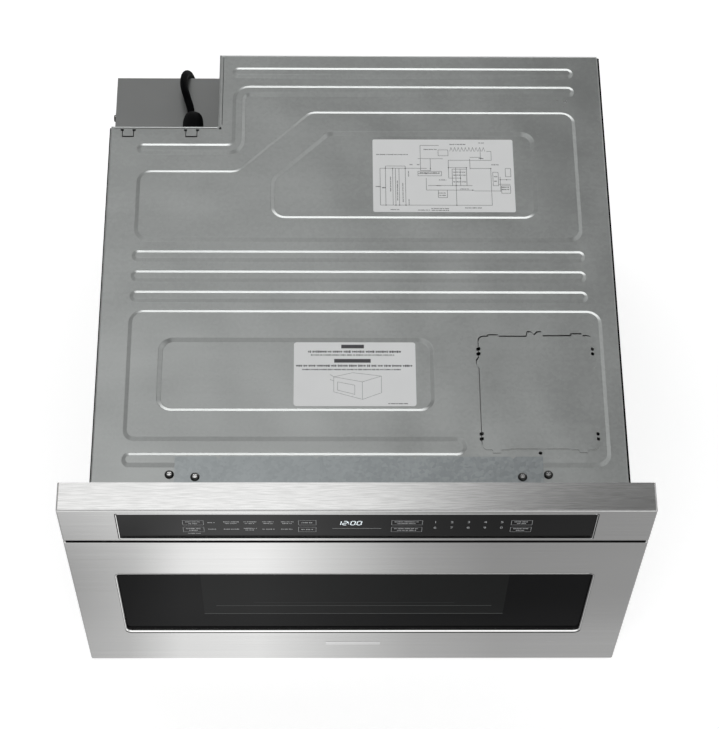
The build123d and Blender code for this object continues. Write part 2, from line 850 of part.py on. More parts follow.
def hv_capacitor():
    """Oval high-voltage capacitor with its two terminals and foot."""
    width, depth, height = capacitor_size
    body = extrude(SlotOverall(width, depth), height)
    foot_width, foot_depth, foot_height = capacitor_foot
    body += extrude(Rectangle(foot_width, foot_depth), foot_height)
    for side in (-1, 1):
        x = side * terminal_spacing / 2
        body += rod(terminal_r, (x, 0, height), (x, 0, height + terminal_height))
    return Pos(capacitor_x, capacitor_y, base_top) * body


fan_size = 120.0
fan_depth = 30.0
fan_corner = 6.0
fan_ring_r = 52.0
fan_arm_margin = 3.0
fan_arm_width = 8.0
fan_arm_depth = 3.0
fan_arm_hole_gap = 1.0
fan_motor_r = 22.0
fan_motor_depth = 24.0
fan_bore_depth = 14.0
fan_shaft_r = 2.0
fan_shaft_length = 22.0
fan_hub_r = 16.0
fan_hub_depth = 18.0
fan_hub_gap = 6.0
fan_blade_r = 48.0
fan_blade_root = 15.0
fan_blade_chord = 24.0
fan_blade_sheet = 1.5
fan_blade_pitch = 32.0
fan_blades = 7


def cooling_fan_housing():
    """Square fan frame on the rear panel, with arms that carry the motor."""
    y1 = cabinet_rear - sheet
    y0 = y1 - fan_depth
    centre = Pos(fan_x, fan_z)
    frame = centre * RectangleRounded(fan_size, fan_size, fan_corner) - centre * Circle(fan_ring_r)
    arm = fan_size - 2 * fan_arm_margin
    arms = Rectangle(arm, fan_arm_width) + Rectangle(fan_arm_width, arm) + Circle(fan_motor_r)
    arms = centre * (arms - Circle(fan_shaft_r + fan_arm_hole_gap))
    return front_plate(frame, y0, y1) + front_plate(arms, y0 - fan_arm_depth, y0)


def cooling_fan_motor():
    """Shaded-pole motor fixed to the arms of the fan housing."""
    y1 = cabinet_rear - sheet - fan_depth - fan_arm_depth
    body = rod(fan_motor_r, (fan_x, y1 - fan_motor_depth, fan_z), (fan_x, y1, fan_z))
    start = (fan_x, y1 - fan_bore_depth, fan_z)
    return body - rod(fan_shaft_r + running_gap, start, (fan_x, y1 + 1, fan_z))


def fan_impeller():
    """Axial fan wheel on its shaft."""
    y1 = cabinet_rear - sheet - fan_hub_gap
    y0 = y1 - fan_hub_depth
    wheel = rod(fan_hub_r, (fan_x, y0, fan_z), (fan_x, y1, fan_z))
    reach = fan_blade_r - fan_blade_root
    plate = Rot(fan_blade_pitch, 0, 0) * Box(reach, fan_blade_sheet, fan_blade_chord)
    blade = Pos(fan_blade_root + reach / 2, 0, 0) * plate
    for number in range(fan_blades):
        wheel += Pos(fan_x, (y0 + y1) / 2, fan_z) * Rot(0, number * 360 / fan_blades, 0) * blade
    return wheel + rod(fan_shaft_r, (fan_x, y0 - fan_shaft_length, fan_z), (fan_x, y0 + 1, fan_z))


filter_x0, filter_y1 = mid - half_cavity + 4.5, cavity_rear - 10.5
filter_size = (80.0, 70.0, 1.6)
filter_lift = 8.0
filter_post_r = 3.0
filter_post_margin = 6.0
filter_choke = (24.0, 26.0, 22.4)
filter_choke_at = (10.0, 12.0)
filter_capacitor_r = 9.0
filter_capacitor_height = 20.4
filter_capacitor_at = (58.0, 24.0)
filter_terminals = (46.0, 10.0, 12.4)
filter_terminals_at = (14.0, 48.0)



def noise_filter_board():
    """Filter board on spacers on the cavity roof, near the mains lead."""
    width, length, thickness = filter_size
    board = block(0, width, 0, length, 0, thickness)
    m = filter_post_margin
    for x in (m, width - m):
        for y in (m, length - m):
            board += rod(filter_post_r, (x, y, -filter_lift), (x, y, 0))
    for size, spot in ((filter_choke, filter_choke_at), (filter_terminals, filter_terminals_at)):
        board += Pos(*spot, thickness) * Box(*size, align=(Align.MIN, Align.MIN, Align.MIN))
    x, y = filter_capacitor_at
    top = thickness + filter_capacitor_height
    board += rod(filter_capacitor_r, (x, y, thickness), (x, y, top))
    return Pos(filter_x0, filter_y1 - length, cavity_roof + filter_lift) * board


# ---------------------------------------------------------------- slides
def channel(x_open, x_web, half_height, y0, y1, lip):
    """C section along Y: the web is at x_web and the flanges run to x_open."""
    a, b = sorted((x_open, x_web))
    section = area(a, b, slide_middle_z - half_height, slide_middle_z + half_height)
    t = slide_sheet
    towards = 1 if x_open > x_web else -1
    c, d = sorted((x_web + towards * t, x_open + towards * t))
    section -= area(c, d, slide_middle_z - half_height + t, slide_middle_z + half_height - t)
    if lip > 0:
        e, f = sorted((x_open, x_open - towards * t))
        for side in (-1, 1):
            edge = slide_middle_z + side * (half_height - t)
            g, h = sorted((edge, edge - side * lip))
            section += area(e, f, g, h)
    return front_plate(section, y0, y1)


step = slide_sheet + slide_gap


def slide_outer():
    x_web = mid + side_inner
    y1 = slide_start + slide_length
    return channel(x_web - slide_width, x_web, slide_height / 2, slide_start, y1, slide_lip)


def slide_middle():
    x_web = mid + side_inner - step
    x_open = mid + side_inner - slide_width + step
    y1 = slide_start + slide_length
    return channel(x_open, x_web, slide_height / 2 - step, slide_start, y1, 0)


def slide_inner():
    x_web = mid + rail_face
    x_open = mid + side_inner - 2 * step
    start = slide_start - slide_lead
    half = slide_height / 2 - 2 * step
    return channel(x_open, x_web, half, start, start + slide_length, 0)


rail_z = (44.0, 94.0)


def carriage_rail():
    """Rail that joins a slide to the drawer front by a foot turned inwards."""
    x1 = mid + rail_face
    z0, z1 = rail_z
    x0 = x1 - rail_sheet
    y1 = slide_start - slide_lead + slide_length
    rail = block(x0, x1, drawer_rear, y1, z0, z1)
    return rail + block(x0 - rail_foot, x1, drawer_rear, drawer_rear + rail_sheet, z0, z1)


# ---------------------------------------------------------------- rack drive
rack_z = rail_z[0]
rack_foot_gap = 0.5
tooth_depth = 2.1 * gear_module
addendum = 0.9 * gear_module
rack_x1 = mid + rail_face - rail_sheet
rack_x0 = rack_x1 - rack_width
rack_y0 = drawer_rear + rail_sheet + rack_foot_gap
rack_y1 = rack_y0 + travel + rack_spare
pitch_z = rack_z - tooth_depth + addendum
pinion_r = gear_module * pinion_teeth / 2
pinion_z = pitch_z - pinion_r - centre_gap
tooth_pitch = pi * gear_module


def drive_rack():
    """Straight rack with its teeth down, fixed along the right carriage rail."""
    slope = tan(radians(pressure_angle))
    half_pitch_line = tooth_pitch / 4 - backlash / 4
    tip = half_pitch_line - addendum * slope
    root = half_pitch_line + (tooth_depth - addendum) * slope
    tip_z = rack_z - tooth_depth
    y1 = rack_y1
    points = [(rack_y0, rack_z + rack_body), (rack_y0, rack_z)]
    first = ceil((rack_y0 + root - pinion_y) / tooth_pitch - 0.5)
    number = first
    while pinion_y + (number + 0.5) * tooth_pitch + root < y1:
        y = pinion_y + (number + 0.5) * tooth_pitch
        points += [(y - root, rack_z), (y - tip, tip_z), (y + tip, tip_z), (y + root, rack_z)]
        number += 1
    points += [(y1, rack_z), (y1, rack_z + rack_body)]
    return side_plate(make_face(Polyline(*points, close=True)), rack_x0, rack_x1)


def involute(angle):
    return tan(angle) - angle


def pinion_outline():
    """Spur gear outline in Y and Z, with a tooth pointing up."""
    base_r = pinion_r * cos(radians(pressure_angle))
    tip_r = pinion_r + addendum
    root_r = pinion_r - tooth_depth + addendum - root_gap
    half_tooth = (tooth_pitch / 4 - backlash / 4) / pinion_r
    at_base = half_tooth + involute(radians(pressure_angle))
    radii = [base_r + (tip_r - base_r) * n / 3 for n in range(4)]
    flank = [(root_r, at_base)]
    flank += [(r, at_base - involute(acos(base_r / r))) for r in radii]
    points = []
    for tooth in range(pinion_teeth):
        middle = pi / 2 + tooth * 2 * pi / pinion_teeth
        for r, half in flank:
            points.append((r * cos(middle - half), r * sin(middle - half)))
        for r, half in reversed(flank):
            points.append((r * cos(middle + half), r * sin(middle + half)))
    return make_face(Polyline(*points, close=True))


pinion_side_gap = 1.0
pinion_plate_gap = 0.3
bracket_gap = 1.5
motor_plate = 2.0
plate_front, plate_rear = 24.0, 28.0
plate_rise = 20.0
plate_foot = 26.0
gearbox_length = 42.0
gearbox_front, gearbox_rear = 22.0, 26.0
gearbox_rise = 18.0
motor_r = 17.0
motor_length = 55.0
plate_x1 = rack_x0 - bracket_gap
plate_x0 = plate_x1 - motor_plate
shaft_depth = 28.0
shaft_end_gap = 2.0
shaft_plate_gap = 1.0


def drive_pinion():
    """Pinion with its shaft in one piece."""
    x0 = plate_x1 + pinion_plate_gap
    outline = Pos(pinion_y, pinion_z) * pinion_outline()
    gear = side_plate(outline, x0, rack_x1 - pinion_side_gap)
    tail = (plate_x0 - shaft_depth, pinion_y, pinion_z)
    return gear + rod(shaft_r, tail, (x0 + 1, pinion_y, pinion_z))


def drive_motor():
    """Gearbox and motor that drive the pinion."""
    x1 = plate_x0
    x0 = x1 - gearbox_length
    y0, y1 = pinion_y - gearbox_front, pinion_y + gearbox_rear
    body = block(x0, x1, y0, y1, pinion_z - gearbox_rise, pinion_z + gearbox_rise)
    body += rod(motor_r, (x0 - motor_length, pinion_y, pinion_z), (x0, pinion_y, pinion_z))
    bottom = (x1 - shaft_depth - shaft_end_gap, pinion_y, pinion_z)
    return body - rod(shaft_r + running_gap, bottom, (x1 + 1, pinion_y, pinion_z))


def motor_bracket():
    """Angle bracket on the base plate that carries the drive motor."""
    y0, y1 = pinion_y - plate_front, pinion_y + plate_rear
    plate = block(plate_x0, plate_x1, y0, y1, base_top, pinion_z + plate_rise)
    plate += block(plate_x0 - plate_foot, plate_x0, y0, y1, base_top, base_top + motor_plate)
    start = (plate_x0 - 1, pinion_y, pinion_z)
    return plate - rod(shaft_r + shaft_plate_gap, start, (plate_x1 + 1, pinion_y, pinion_z))


# ---------------------------------------------------------------- interlock
striker_length = 12.0
striker_foot = (8.0, 9.0, 0.2)
switch_gap = 0.3
plunger_r = 1.8
plunger_out = 2.7
plunger_length = 8.0
plunger_travel = 1.5
plunger_space = 0.5
switch_body = (12.0, 20.0, 28.0)
switch_below = 12.0
switch_sheet = 1.2
switch_flange = 4.0
striker_y1 = drawer_rear + striker_length
switch_y0 = striker_y1 + switch_gap + plunger_out
switch_at = mid - switch_x


def switch_striker():
    """Finger on the drawer that presses the interlock switch."""
    half, rise = striker_width / 2, striker_height / 2
    x, z, y0 = switch_at, switch_z, drawer_rear
    finger = block(x - half, x + half, y0, striker_y1, z - rise, z + rise)
    width, height, thickness = striker_foot
    half, rise = width / 2, height / 2
    return finger + block(x - half, x + half, y0, y0 + thickness, z - rise, z + rise)


def interlock_switch():
    width, length, height = switch_body
    x, z0 = switch_at, switch_z - switch_below
    body = block(x - width / 2, x + width / 2, switch_y0, switch_y0 + length, z0, z0 + height)
    depth = plunger_length - plunger_out + plunger_travel + plunger_space
    start = (x, switch_y0 - 1, switch_z)
    return body - rod(plunger_r + running_gap, start, (x, switch_y0 + depth, switch_z))


def switch_plunger():
    y0 = striker_y1 + switch_gap
    return rod(plunger_r, (switch_at, y0, switch_z), (switch_at, y0 + plunger_length, switch_z))


def switch_bracket():
    """Angle on the rear of the front frame that holds the switch."""
    width, length, height = switch_body
    arm_x = switch_at + width / 2
    x0, x1 = arm_x - width - switch_flange, arm_x + switch_sheet
    z0 = switch_z - switch_below - switch_sheet
    z1 = z0 + height + switch_sheet
    y0 = cabinet_front
    plate = block(x0, x1, y0, y0 + switch_sheet, z0, z1)
    half = striker_width / 2 + striker_clearance
    rise = striker_height / 2 + striker_clearance
    slot = area(switch_at - half, switch_at + half, switch_z - rise, switch_z + rise)
    plate -= front_plate(slot, y0 - 1, y0 + 1 + switch_sheet)
    return plate + block(arm_x, x1, y0, switch_y0 + length, z0, z1)


# ---------------------------------------------------------------- control panel
lip_return = 12.0


def control_fascia():
    """Stainless control panel, folded, with the opening for its glass."""
    half = front_width / 2
    panel = folded_front(half, control_base, front_top, front_depth, front_sheet, front_bend)
    opening = (control_half, control_z0, control_z1, control_corner, control_recess)
    panel = opening_with_lip(panel, *opening)
    half -= front_sheet
    y0, z1 = front_depth - front_sheet, front_top - front_sheet
    return panel + block(-half, half, y0, front_depth, z1 - lip_return, z1)


glass_edge = 2.0


def control_glass():
    half = control_half + glass_edge
    z0, z1 = control_z0 - glass_edge, control_z1 + glass_edge
    outline = area(-half, half, z0, z1, control_corner + glass_edge)
    return front_plate(outline, control_recess, control_recess + control_glass_thickness)


display_half = 26.0
display_z0, display_z1 = control_z0 + 25.5, control_z1 - 13.0
display_gap = 0.5
chassis_wall = 2.0
chassis_depth = 22.0
chassis_gap = 1.0
board_y = 14.0
board_half = control_half - 65.0
board_edge = 4.0
board_height = 48.0
board_sheet = 1.6
post_r = 3.0
post_inset = 8.0
post_rise = 12.0
relay_size = (20.0, 8.0, 28.0)
relay_start = 30.0
relay_pitch = 26.0
relay_count = 4
relay_z = 8.0
small_transformer = (35.0, 8.5, 32.0)
small_transformer_at = (2 * board_half - 120.0, 6.0)
connector_size = (40.0, 6.0, 12.0)
connector_at = (2 * board_half - 60.0, 30.0)


def control_chassis():
    """Moulded tray behind the glass that holds the control board."""
    y0 = control_recess + control_glass_thickness
    z0 = control_base + front_sheet
    z1 = control_z1 + glass_edge + chassis_gap
    half = control_half + glass_edge + chassis_gap
    w = chassis_wall
    tray = block(-half, half, y0, y0 + chassis_depth, z0, z1)
    tray -= block(-half + w, half - w, y0 + w, y0 + chassis_depth + 1, z0 + w, z1 - w)
    for x in (-board_half + post_inset, board_half - post_inset):
        for z in (z0 + post_rise, z1 - post_rise):
            tray += rod(post_r, (x, y0 + w, z), (x, board_y, z))
    half, gap = display_half + display_gap, display_gap
    window = area(-half, half, display_z0 - gap, display_z1 + gap)
    return tray - front_plate(window, y0 - 1, y0 + w + 1)


def display_module():
    y0 = control_recess + control_glass_thickness
    return block(-display_half, display_half, y0, board_y, display_z0, display_z1)


def control_board():
    """Circuit board with its relays, transformer and connectors."""
    board = block(0, 2 * board_half, 0, board_sheet, 0, board_height)
    corner = (Align.MIN, Align.MIN, Align.MIN)
    for number in range(relay_count):
        spot = Pos(relay_start + number * relay_pitch, board_sheet, relay_z)
        board += spot * Box(*relay_size, align=corner)
    larger = ((small_transformer, small_transformer_at), (connector_size, connector_at))
    for size, (x, z) in larger:
        board += Pos(x, board_sheet, z) * Box(*size, align=corner)
    z0 = control_base + front_sheet + chassis_wall + board_edge
    return Pos(-board_half, board_y, z0) * board


# ---------------------------------------------------------------- drawer front
spacer_width = 6.0
spacer_corner = 4.0
panel_sheet = 1.2
screen_sheet = 1.0
screen_edge = 12.0
choke_gap = 4.0
choke_width = 12.0
choke_depth = 16.0
choke_wall = 1.0
panel_corner = 1.0
panel_front = drawer_rear - panel_sheet


def drawer_front():
    """Stainless front of the drawer, folded, with the window opening."""
    half = front_width / 2
    panel = folded_front(half, front_lift, drawer_top, drawer_rear, front_sheet, front_bend)
    return opening_with_lip(
        panel, window_half, window_z0, window_z1, window_corner, window_recess
    )


def window_glass():
    half = window_half + glass_overlap
    z0, z1 = window_z0 - glass_overlap, window_z1 + glass_overlap
    outline = area(-half, half, z0, z1, glass_corner)
    return front_plate(outline, window_recess, window_recess + window_glass_thickness)


def window_spacer():
    """Moulded frame that presses the window glass against the front."""
    z0, z1 = window_z0 - glass_overlap, window_z1 + glass_overlap
    half = window_half + glass_overlap
    w = spacer_width
    ring = area(-half, half, z0, z1, glass_corner)
    ring -= area(-half + w, half - w, z0 + w, z1 - w, spacer_corner)
    y0 = window_recess + window_glass_thickness
    choke_front = drawer_rear - choke_depth
    frame = front_plate(ring, y0, choke_front)
    for x in (-half, half - w):
        frame += block(x, x + w, choke_front, panel_front, cavity_floor, z1 - 2 * w)
    return frame


def window_screen():
    """Screening sheet behind the glass, on the inner panel."""
    half = screen_half + screen_edge
    z0, z1 = screen_z0 - screen_edge, screen_z1 + screen_edge
    outline = area(-half, half, z0, z1, screen_corner)
    return front_plate(outline, panel_front - screen_sheet, panel_front)


def choke_ring(inner, outer):
    """Flat ring around the cavity mouth, between two offsets from its edge."""

    def around(offset):
        half = half_cavity + offset
        z0, z1 = cavity_floor - offset, cavity_top + offset
        return area(mid - half, mid + half, z0, z1, cavity_corner + offset)

    return around(outer) - around(inner)


def door_inner_panel():
    """Inner steel panel with the folded choke channel and the screen opening."""
    half = front_width / 2 - front_sheet
    z0, z1 = front_lift + front_sheet, drawer_top - front_sheet
    plate = front_plate(area(-half, half, z0, z1, panel_corner), panel_front, drawer_rear)
    inner, outer = choke_gap, choke_gap + choke_width
    back = drawer_rear - choke_depth
    plate += front_plate(choke_ring(inner - choke_wall, outer + choke_wall), back, drawer_rear)
    plate -= front_plate(choke_ring(inner, outer), back + choke_wall, drawer_rear + 1)
    window = area(-screen_half, screen_half, screen_z0, screen_z1, screen_corner)
    return plate - front_plate(window, panel_front - 1, drawer_rear + 1)


choke_cover_depth = 2.0
badge_z = 45.0
badge_half = 31.0
badge_width = 7.0
badge_ridge = 3.0
badge_sheet = 0.48


def choke_cover():
    """Plastic ring that closes the choke channel flush with the inner panel."""
    ring = choke_ring(choke_gap, choke_gap + choke_width)
    return front_plate(ring, drawer_rear - choke_cover_depth, drawer_rear)


def badge_plate():
    """Small plain bar on the drawer front, with a ridge along it."""
    z0 = front_lift + badge_z
    plate = block(-badge_half, badge_half, -badge_sheet, 0, z0, z0 + badge_width)
    return plate + block(-badge_half, badge_half, -badge_height, 0, z0, z0 + badge_ridge)


# ---------------------------------------------------------------- drawer basket
basket_half = half_cavity - basket_side_gap
basket_floor = cavity_floor + basket_lift
basket_top = cavity_top - basket_head
basket_rear = cavity_rear - basket_rear_gap
basket_corner = 8.0
basket_rim = 4.0
basket_rim_corner = 3.0
basket_foot = 3.0
tray_corner = 10.0
tray_bevel = 0.6


def drawer_basket():
    """Steel basket, open at the top, with flanges on the drawer and a turned-out rim."""
    x0, x1 = mid - basket_half, mid + basket_half
    y0, y1 = drawer_rear, basket_rear
    z0, z1 = basket_floor, basket_top
    w = basket_wall
    outer = block(x0, x1, y0, y1, z0, z1)
    outer = fillet(outer.edges().filter_by(Axis.Z).sort_by(Axis.Y)[-2:], basket_corner)
    inner = block(x0 + w, x1 - w, y0 - 1, y1 - w, z0 + w, z1 + 1)
    inner = fillet(inner.edges().filter_by(Axis.Z).sort_by(Axis.Y)[-2:], basket_corner - w)
    rim = area(x0 - basket_rim, x1 + basket_rim, y0, y1 + basket_rim, basket_rim_corner)
    rim -= area(x0, x1, y0 - basket_rim, y1)
    shell = outer - inner + flat_plate(rim, z1 - w, z1)
    sides = area(x0 - basket_lip, x1 + basket_lip, z0 - basket_foot, z1)
    sides -= area(x0, x1, z0, z1 + 1)
    return shell + front_plate(sides, y0, y0 + w)


def glass_tray():
    """Flat glass plate on the floor of the basket."""
    half = basket_half - basket_wall - tray_gap
    y0, y1 = drawer_rear + tray_gap, basket_rear - basket_wall - tray_gap
    z0 = basket_floor + basket_wall
    outline = area(mid - half, mid + half, y0, y1, tray_corner)
    plate = flat_plate(outline, z0, z0 + tray_thickness)
    return chamfer(plate.faces().sort_by(Axis.Z)[-1].edges(), tray_bevel)


# ---------------------------------------------------------------- labels
label_sheet = 0.2
rear_label_size = (156.6, 97.0)
rear_label_inset = (23.4, 9.2)
rear_label_corner = 2.0
front_label_size = (128.4, 77.0)
front_label_inset = (18.3, 6.3)
front_label_corner = 3.0


def top_labels():
    """Two printed labels in the recessed fields of the top."""

    def label(right, front, size, inset, corner):
        x1, y0 = right - inset[0], front + inset[1]
        outline = area(x1 - size[0], x1, y0, y0 + size[1], corner)
        return flat_plate(outline, cabinet_top, cabinet_top + label_sheet)

    rear = (rear_recess_right, rear_recess_front, rear_label_size, rear_label_inset)
    front = (front_recess_right, front_recess_front, front_label_size, front_label_inset)
    return label(*rear, rear_label_corner), label(*front, front_label_corner)


gland_nose_gap = 2.0
gland_dome = 9.0
gland_bulge = 0.86
gland_clamp = 5.0
gland_neck_length = 3.0
gland_clamp_r = 10.5


# ---------------------------------------------------------------- mains lead
def strain_relief():
    """Bushing in the wall of the recess: clamp ring, neck, and a domed nose."""
    nose = recess_y + gland_length
    shoulder = recess_y + gland_length / 2
    tip_r = cord_diameter / 2 + gland_nose_gap
    bulge = (gland_r * gland_bulge, shoulder + gland_dome)
    profile = make_face(
        Polyline((0, recess_y), (gland_r, recess_y), (gland_r, shoulder))
        + ThreePointArc((gland_r, shoulder), bulge, (tip_r, nose))
        + Polyline((tip_r, nose), (0, nose), (0, recess_y))
    )
    head = Pos(gland_x, 0, gland_z) * revolve(profile, Axis.Y)
    inside = recess_y - sheet
    start = (gland_x, inside - gland_neck_length, gland_z)
    neck = rod(gland_neck_r, start, (gland_x, recess_y + 1, gland_z))
    start = (gland_x, inside - gland_neck_length - gland_clamp, gland_z)
    return head + neck + rod(gland_clamp_r, start, (gland_x, inside, gland_z))


coil_x, coil_y = -102.0, 690.0
coil_lowest = cord_diameter / 2 + tie_thickness + tie_gap
coil_r = coil_middle_r + coil_pitch * 5 / 8
coil_quarters = 9
coil_turn_back = 5
coil_climb_start, coil_climb_end = 4, 6
coil_lead = cord_diameter
coil_tail = 46.0
cord_start = (gland_x, recess_y + gland_length, gland_z)
cord_route = [
    cord_start,
    (gland_x, cord_start[1] + 14.0, gland_z),
    (-190.0, 549.0, 352.0),
    (-193.2, 569.0, 352.0),
    (-192.5, 588.5, 346.5),
    (-188.5, 601.5, 330.5),
    (-184.5, 605.0, 303.0),
    (-181.0, 606.5, 258.0),
    (-177.0, 607.0, 183.0),
    (-170.0, 608.0, 118.0),
    (-162.0, 610.0, 74.0),
    (-157.8, 613.0, 33.0),
]
cord_landing = 40.0
cord_run_share = 0.45


def coil_radius(quarter):
    inward = min(quarter, coil_turn_back)
    outward = max(quarter - coil_turn_back, 0)
    return coil_r - coil_pitch * (inward - outward) / 4


def coil_height(quarter):
    span = (quarter - coil_climb_start) / (coil_climb_end - coil_climb_start)
    share = min(max(span, 0.0), 1.0)
    return coil_lowest + coil_layer * (1 - cos(pi * share)) / 2


def coil_point(quarter):
    """Point of the coil's centre line, clockwise from its leftmost point."""
    angle = pi - quarter * pi / 2
    r = coil_radius(quarter)
    return Vector(coil_x + r * cos(angle), coil_y + r * sin(angle), coil_height(quarter))


def coil_direction(quarter):
    """Travel direction there; it is square to the radius at both ends and at the turn back."""
    angle = pi - quarter * pi / 2
    drift = 0.0
    if 0 < quarter < coil_quarters and quarter != coil_turn_back:
        drift = -coil_pitch / (2 * pi) if quarter < coil_turn_back else coil_pitch / (2 * pi)
    r = coil_radius(quarter)
    rise = 0.0
    if coil_climb_start < quarter < coil_climb_end:
        rise = coil_layer * pi / 2 / (pi * (coil_climb_end - coil_climb_start) / 2)
    across = Vector(sin(angle), -cos(angle), 0) * r
    return (across + Vector(cos(angle), sin(angle), 0) * drift + Vector(0, 0, rise)).normalized()


def biarc(start, start_dir, end, end_dir):
    """Two tangent arcs between two points with given directions."""
    chord = end - start
    both = start_dir + end_dir
    lead = -chord.dot(both)
    spread = 2 * (1 - start_dir.dot(end_dir))
    reach = (lead + sqrt(lead * lead + spread * chord.dot(chord))) / spread
    first, second = start + start_dir * reach, end - end_dir * reach
    middle = (first + second) * 0.5
    arc_in = TangentArc(start, middle, tangent=start_dir)
    arc_out = TangentArc(middle, end, tangent=second - first)
    return [arc_in, arc_out]


def coil_path():
    start, end = coil_point(0), coil_point(coil_quarters)
    start_dir, end_dir = coil_direction(0), coil_direction(coil_quarters)
    edges = [Line(start - start_dir * coil_lead, start)]
    for quarter in range(coil_quarters):
        edges += biarc(
            coil_point(quarter),
            coil_direction(quarter),
            coil_point(quarter + 1),
            coil_direction(quarter + 1),
        )
    edges.append(Line(end, end + end_dir * coil_tail))
    return Wire(edges)


def tube(path, diameter):
    start = Plane(origin=path @ 0, z_dir=path % 0)
    return sweep(start * Circle(diameter / 2), path=path)


def run_turns(points):
    """Length before, length after and turn, in degrees, at each inner point of a route."""
    vectors = [Vector(*b) - Vector(*a) for a, b in zip(points, points[1:])]
    return [(a.length, b.length, a.get_angle(b)) for a, b in zip(vectors, vectors[1:])]


def corner_radii(points):
    turns = run_turns(points)
    return [cord_run_share * min(a, b) / tan(radians(turn) / 2) for a, b, turn in turns]


def power_cord():
    """Free stretch of the lead, from the strain relief to the start of the coil."""
    end = coil_point(0) - coil_direction(0) * coil_lead
    landing = end - coil_direction(0) * cord_landing
    points = [*cord_route, tuple(landing), tuple(end)]
    radii = corner_radii(points)
    path = FilletPolyline(*points, radius=radii)
    for (before, after, turn), radius in zip(run_turns(points), radii):
        print(f"cord runs {before:.1f}, {after:.1f} mm, turn {turn:.1f}, radius {radius:.1f} mm")
    solid = tube(Wire(path.edges()), cord_diameter)
    share = solid.volume / (pi * cord_diameter**2 / 4 * path.length)
    print(f"cord length {path.length:.1f} mm, volume over section x length {share:.5f}")
    return solid


def least_gap(path, diameter, skip):
    """Least gap between stretches of the path that lie further apart than skip along it."""
    count = int(path.length / 2)
    points = [path @ (n / count) for n in range(count + 1)]
    spacing = path.length / count
    apart = int(skip / spacing)
    least = min(
        (points[b] - points[a]).length
        for a in range(count + 1)
        for b in range(a + apart, count + 1)
    )
    return least - diameter


def cord_coil():
    """Put-away length of the lead: turns that spiral in, climb, and spiral out again."""
    path = coil_path()
    solid = tube(path, cord_diameter)
    share = solid.volume / (pi * cord_diameter**2 / 4 * path.length)
    gap = least_gap(path, cord_diameter, coil_middle_r)
    print(f"coil length {path.length:.1f} mm, least gap to itself {gap:.2f} mm")
    print(f"coil volume over section x length {share:.5f}")
    return solid


def cord_tie():
    """Strap around the turns of the coil, at its rightmost point."""
    r = cord_diameter / 2 + tie_gap
    inner_x = coil_x + coil_radius(coil_climb_end) - r
    outer_x = coil_x + coil_radius(2) + r
    half = tie_width / 2
    z0, z1 = coil_lowest - r, coil_lowest + coil_layer + r
    t = tie_thickness
    strap = block(inner_x - t, outer_x + t, coil_y - half, coil_y + half, z0 - t, z1 + t)
    return strap - block(inner_x, outer_x, coil_y - half - 1, coil_y + half + 1, z0, z1)


plug_boot = 16.0
boot_small_gap, boot_large_gap = 1.0, 3.5
plug_length = 30.0
plug_width = 27.0
plug_corner = 6.0
blade_length = 16.0
blade_width = 6.3
blade_below = 1.5
blade_sheet = 1.5
blade_spacing = 12.7
earth_pin_r = 2.4
earth_pin_drop = 9.0
earth_pin_spare = 2.0


def mains_plug():
    """Moulded three-pin plug that lies flat beside the coil."""
    end = coil_point(coil_quarters)
    x0 = end.X + coil_tail
    y, z = end.Y, end.Z
    x1 = x0 + plug_boot
    x2 = x1 + plug_length
    small, large = cord_diameter / 2 + boot_small_gap, cord_diameter / 2 + boot_large_gap
    boot = loft([
        Plane(origin=(x0, y, z), z_dir=(1, 0, 0)) * Circle(small),
        Plane(origin=(x1, y, z), z_dir=(1, 0, 0)) * Circle(large),
    ])
    body = block(x1, x2, y - plug_width / 2, y + plug_width / 2, 0, 2 * z)
    plug = boot + fillet(body.edges().filter_by(Axis.X), plug_corner)
    t, z0 = blade_sheet / 2, z - blade_below
    for side in (-1, 1):
        yb = y + side * blade_spacing / 2
        plug += block(x2, x2 + blade_length, yb - t, yb + t, z0, z0 + blade_width)
    z0 = z - earth_pin_drop
    return plug + rod(earth_pin_r, (x2, y, z0), (x2 + blade_length + earth_pin_spare, y, z0))


# ---------------------------------------------------------------- write the parts
save("base_plate", base_plate() - side_screw_holes)
save("left_side_panel", side_panel_left())
save("right_side_panel", side_panel_right())
save("rear_panel", rear_panel())
save("top_cover", top_cover())
save("access_cover", access_cover())
save("cord_recess_pan", cord_recess_pan())
save("case_screws", *case_screws())
save("front_frame", front_frame())
save("control_support_bracket", control_support_bracket())
save("oven_cavity", oven_cavity())
save("cavity_supports", *cavity_supports())
save("stirrer_cover", stirrer_cover())
save("stirrer_motor", stirrer_motor())
save("stirrer_fan", stirrer_fan())
save("oven_lamp", *oven_lamp())
save("waveguide", waveguide())
save("magnetron", magnetron())
save("hv_transformer", hv_transformer())
save("hv_capacitor", hv_capacitor())
save("cooling_fan_housing", cooling_fan_housing())
save("cooling_fan_motor", cooling_fan_motor())
save("fan_impeller", fan_impeller())
save("noise_filter_board", noise_filter_board())
save("slide_outer_members", *both_sides(slide_outer()))
middle_right, middle_left = both_sides(slide_middle())
save("slide_middle_right", middle_right)
save("slide_middle_left", middle_left)
save("slide_inner_members", *both_sides(slide_inner()))
save("carriage_rails", *both_sides(carriage_rail()))
save("drive_rack", drive_rack())
save("drive_pinion", drive_pinion())
save("drive_motor", drive_motor())
save("motor_bracket", motor_bracket())
save("switch_striker", switch_striker())
save("interlock_switch", interlock_switch())
save("switch_plunger", switch_plunger())
save("switch_bracket", switch_bracket())
save("control_fascia", control_fascia())
save("control_glass", control_glass())
save("control_chassis", control_chassis())
save("display_module", display_module())
save("control_board", control_board())
save("drawer_front", drawer_front())
save("window_glass", window_glass())
save("window_spacer", window_spacer())
save("window_screen", window_screen())
save("door_inner_panel", door_inner_panel())
save("choke_cover", choke_cover())
save("badge_plate", badge_plate())
save("drawer_basket", drawer_basket())
save("glass_tray", glass_tray())
save("top_labels", *top_labels())
save("strain_relief", strain_relief())
